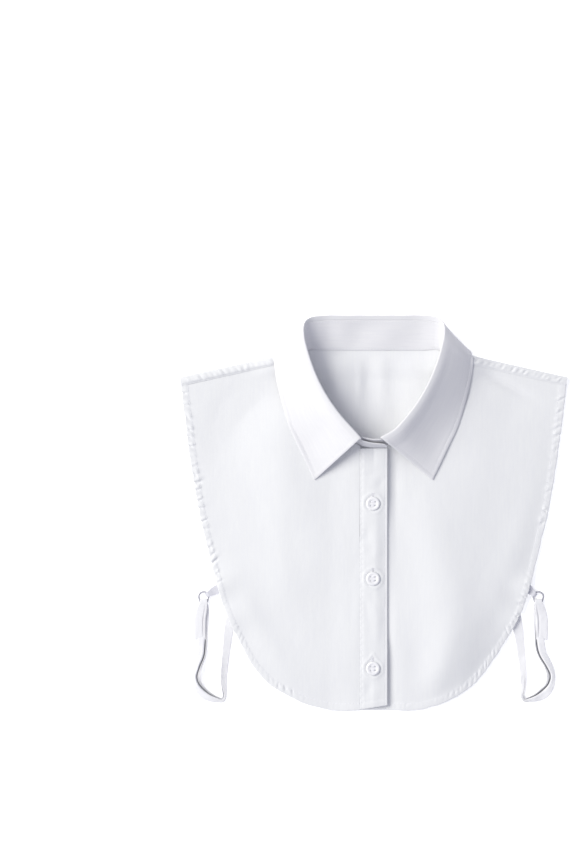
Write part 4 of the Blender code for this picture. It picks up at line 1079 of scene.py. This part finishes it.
def layRibbon(table, plain, side, wall, count, crumple, seed):
    rows = smoothThrough([(*row, *plain[len(row) - 4:]) for row in table], np.linspace(0, 1, count))
    along = runOf(rows[:, :3])
    tight = ease(-rows[:, 1], *loop["tightY"])
    lean = np.radians(rows[:, 4]) + np.radians(loop["leanSway"]) * wander(seed, along, 14) * tight
    half = rows[:, 3] / 2 * (1 + loop["widthSway"] * wander(seed + 1, along, 11))
    upright = half * np.abs(np.sin(lean)) + wall / 2 * np.cos(lean) + 0.05 + loop["grooveLift"] * rows[:, 6]
    centres = np.column_stack([rows[:, 0] + leftCloser(rows[:, 0], rows[:, 1], side), rows[:, 1],
                               np.maximum(rows[:, 2], 0) + upright])
    tangents = np.gradient(centres, axis=0)
    tangents /= np.linalg.norm(tangents, axis=1)[:, None]
    across = np.cross(tangents[0], (0, 0, 1))
    besideFold = np.array([-0.27, -0.2, -0.14, -0.07, 0, 0.07, 0.14, 0.2, 0.27])
    grid, places, walls, foldShading = [], [], [], []
    stations = zip(centres, tangents, half, lean, along, tight, rows)
    for centre, tangent, reach, angle, run, pull, row in stations:
        level = np.cross(tangent, (0, 0, 1))
        if np.linalg.norm(level) > 0.5:
            across = level / np.linalg.norm(level) * math.copysign(1, level.dot(across))
        leaned = math.cos(angle) * across + math.sin(angle) * np.cross(across, tangent)
        facing = np.cross(leaned, tangent)
        fold, deep = -row[5], row[6]
        outer, inner = np.linspace(-1, fold - 0.32, 4), np.linspace(fold + 0.34, 1, 7)
        shares = np.concatenate([outer, fold + besideFold, inner])
        swing = wander(seed + 2, run, 5.5) * np.cos(1.6 * shares)
        swing = swing + 0.7 * wander(seed + 3, run + 4 * shares, 7.5)
        ruffle = loop["edgeRuffle"] * crumple * wander(seed + 4, run + 2.5 * shares, 3.6) * shares**2
        fromFold = (shares - fold) * 4.8
        groove = loop["groove"] * deep * bell(fromFold, 0, 0.78)
        groove = groove + loop["besideGroove"] * deep * ease(-shares, -fold, 1)
        # painted shade over the inner flap beside the fold
        flap = 0.45 * bell(fromFold, -1.2, 1.6) * (fromFold < 0)
        bend = crumple * pull * swing + np.where(facing[2] > 0, -1, 1) * groove
        line = centre + leaned * (reach * shares)[:, None] + facing * (bend + ruffle * (0.3 + pull))[:, None]
        line[:, 2] = np.maximum(line[:, 2], wall / 2 + 0.03)
        grid.append(line)
        places.append(shares * loop["acrossWeave"])
        walls.append(wall - (wall - loop["foldWall"]) * min(deep, 1.0) * bell(fromFold, 0, 1))
        # how much painted shade lies along the fold and over the flap, darkest in the fold itself
        foldShading.append(min(deep / 1.2, 1.0) * np.minimum(bell(fromFold, 0, 0.7) + flap, 1.0))
    weave = np.stack([places, np.broadcast_to(along[:, None], np.shape(places))], axis=-1)
    return np.array(grid) * (side, 1, 1), weave, np.array(walls), np.array(foldShading)


def makeRing(name, side):
    x, y = ringSize["x"] + float(leftCloser(ringSize["x"], ringSize["y"], side)), ringSize["y"]
    radius, corner, sides = ringSize["radius"], ringSize["corner"], ringSize["sides"]
    bow = np.linspace(-0.12, math.pi + 0.12, 40)
    route = [(x + radius * math.cos(a), y + radius * math.sin(a)) for a in bow]
    for end, start in ((-1, 1.25), (1, 1.5)):  # rounded corners of the bar
        cornerX, cornerY = x + end * (0.82 * radius - corner), y - ringSize["barDrop"] + corner
        for a in np.linspace(start * math.pi, (start + 0.25) * math.pi, 6):
            route.append((cornerX + corner * math.cos(a), cornerY + corner * math.sin(a)))
    route = np.array([(side * px, py, ringSize["z"]) for px, py in route])
    tangents = np.roll(route, -1, axis=0) - np.roll(route, 1, axis=0)
    tangents /= np.linalg.norm(tangents, axis=1)[:, None]
    points, faces = [], []
    for spot, out in zip(route, np.cross(tangents, (0, 0, 1))):
        for lean, rise in circle(0, 0, 1, sides):
            points.append(spot + ringSize["wire"] * (out * lean + np.array([0, 0, rise])))
    for r in range(len(route)):
        here, there = r * sides, (r + 1) % len(route) * sides
        for t in range(sides):
            after = (t + 1) % sides
            faces.append((here + t, here + after, there + after, there + t)[::-side])
    return meshPiece(name, points, faces, ringCoat, outward=True)


loopPieces = []
for label, side in (("Left", 1), ("Right", -1)):
    strapGrid, strapWeave, strapWall, strapFoldShading = layRibbon(
        loop["elastic"], loop["elasticPlain"], side, loop["wall"], 420, loop["crumple"], 90 + side)
    strap = clothPiece("elastic" + label, strapGrid, strapWall, strapWeave, elasticWeb, side, strapFoldShading)
    tabGrid, tabWeave, tabWall, _ = layRibbon(
        loop["tab"], loop["tabPlain"], side, loop["tabWall"], 90, loop["tabCrumple"], 120 + side)
    tab = clothPiece("tab" + label, tabGrid, tabWall, tabWeave, satinRibbon, side)
    ring = makeRing("ring" + label, side)
    crossings = []
    for lineY in loop["stitchLines"]:
        row = int(np.argmin(np.abs(strapGrid[:60, 5, 1] - lineY)))
        columns = np.linspace(0.8, strapGrid.shape[1] - 1.8, 16)
        crossings.append(seamOn(strapGrid, side, loop["wall"], row, columns))
    bars = sewStitches("strapStitches" + label, crossings, 21 + side, length=1.3, gap=0.5, radius=0.2)
    loopPieces.append((label.lower(), strap, tab, ring, bars, strapGrid, tabGrid))
print("side loops made")


# table top, light and camera

stage = dict(
    cameraX=-81.2, cameraY=76.2, cameraHigh=4, frameTall=0.8208, sensor=36, farEnd=50,
    keyFrom=(-0.72, 0.28, 0.63), keyFar=4.5, keySize=3.3, keyPower=207.5, keyColour="#FFFDF4",
    fillFrom=(0.1, -0.6, 0.8), fillFar=2.6, fillSize=2, fillPower=8, fillColour="#F4F5FF",
    sky="#EAECFA", skyStrength=0.49, floor="#FFFFFF", floorGlow=0.45, floorReach=3000, floorZ=-0.2,
)


def setStage():
    reach, z = stage["floorReach"], stage["floorZ"]
    finish, _, _ = newFinish("matt white table top", Base_Color=linearOf(stage["floor"]), Roughness=0.9,
                             Specular_IOR_Level=0.1, Emission_Color=linearOf(stage["floor"]),
                             Emission_Strength=stage["floorGlow"])
    corners = [(-reach, -reach, z), (reach, -reach, z), (reach, reach, z), (-reach, reach, z)]
    floor = meshPiece("tableTop", corners, [(0, 1, 2, 3)], finish)
    for label in ("key", "fill"):
        lamp = bpy.data.lights.new(label, "AREA")
        lamp.shape = "DISK"
        lamp.size = stage[label + "Size"]
        lamp.energy = stage[label + "Power"]
        lamp.color = linearOf(stage[label + "Colour"])[:3]
        light = placed(label, lamp)
        toward = Vector(stage[label + "From"]).normalized()
        light.location = toward * stage[label + "Far"]
        light.rotation_euler = toward.to_track_quat("Z", "Y").to_euler()
    world = bpy.data.worlds.new("pale room")
    world.use_nodes = True
    sky = world.node_tree.nodes["Background"].inputs
    sky[0].default_value = linearOf(stage["sky"])
    sky[1].default_value = stage["skyStrength"]
    bpy.context.scene.world = world
    camera = placed("camera", bpy.data.cameras.new("camera"))
    camera.data.sensor_width = stage["sensor"]
    camera.data.lens = stage["sensor"] * stage["cameraHigh"] / stage["frameTall"]
    camera.data.clip_end = stage["farEnd"]
    camera.location = (stage["cameraX"] * mm, stage["cameraY"] * mm, stage["cameraHigh"])
    bpy.context.scene.camera = camera
    bpy.context.scene.view_settings.view_transform = "Standard"


# every piece rides on the garment and stands for its plain solid

rightStitches = sewStitches("frontRightStitches", rightSeams, 3)
leftStitches = sewStitches("frontLeftStitches", leftSeams, 4)
backStitches = sewStitches("backStitches", backSeams, 5, radius=0.13)
placketStitches = sewStitches("placketStitches", placketSeams, 6, radius=0.16)

for piece, node, slot in (
    (frontRight, "front_right", "poplin"), (frontLeft, "front_left", "poplin"),
    (backPanel, "back_panel", "poplin"), (placketBand, "placket", "poplin"),
    (buttonStand, "button_stand", "poplin"),
    (collarLeaf, "collar_leaf", "fused_poplin"), (collarStand, "collar_stand", "fused_poplin"),
    *[(made, f"button_{number}", "button") for number, made in enumerate(buttons, start=1)],
    *[(strap, "elastic_" + label, "elastic") for label, strap, *_ in loopPieces],
    *[(tab, "tab_" + label, "satin") for label, _, tab, *_ in loopPieces],
    *[(ring, "ring_" + label, "ring") for label, _, _, ring, *_ in loopPieces],
):
    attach(piece, "root")
    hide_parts(node)
for piece in (rightStitches, leftStitches, backStitches, placketStitches, buttonholeStitches, buttonThread,
              leafStitches, standStitches, *[bars for *_, bars, _, _ in loopPieces]):
    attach(piece, "root")


def spread(points):  # width, length and area of a flat outline, in metres
    points = np.asarray(points) * mm
    x, y = points[:, 0], points[:, 1]
    area = abs(np.dot(x, np.roll(y, -1)) - np.dot(y, np.roll(x, -1))) / 2
    size = points.max(axis=0) - points.min(axis=0)
    return (float(size[0]), float(size[1])), float(area)


setStage()
print("stage set")
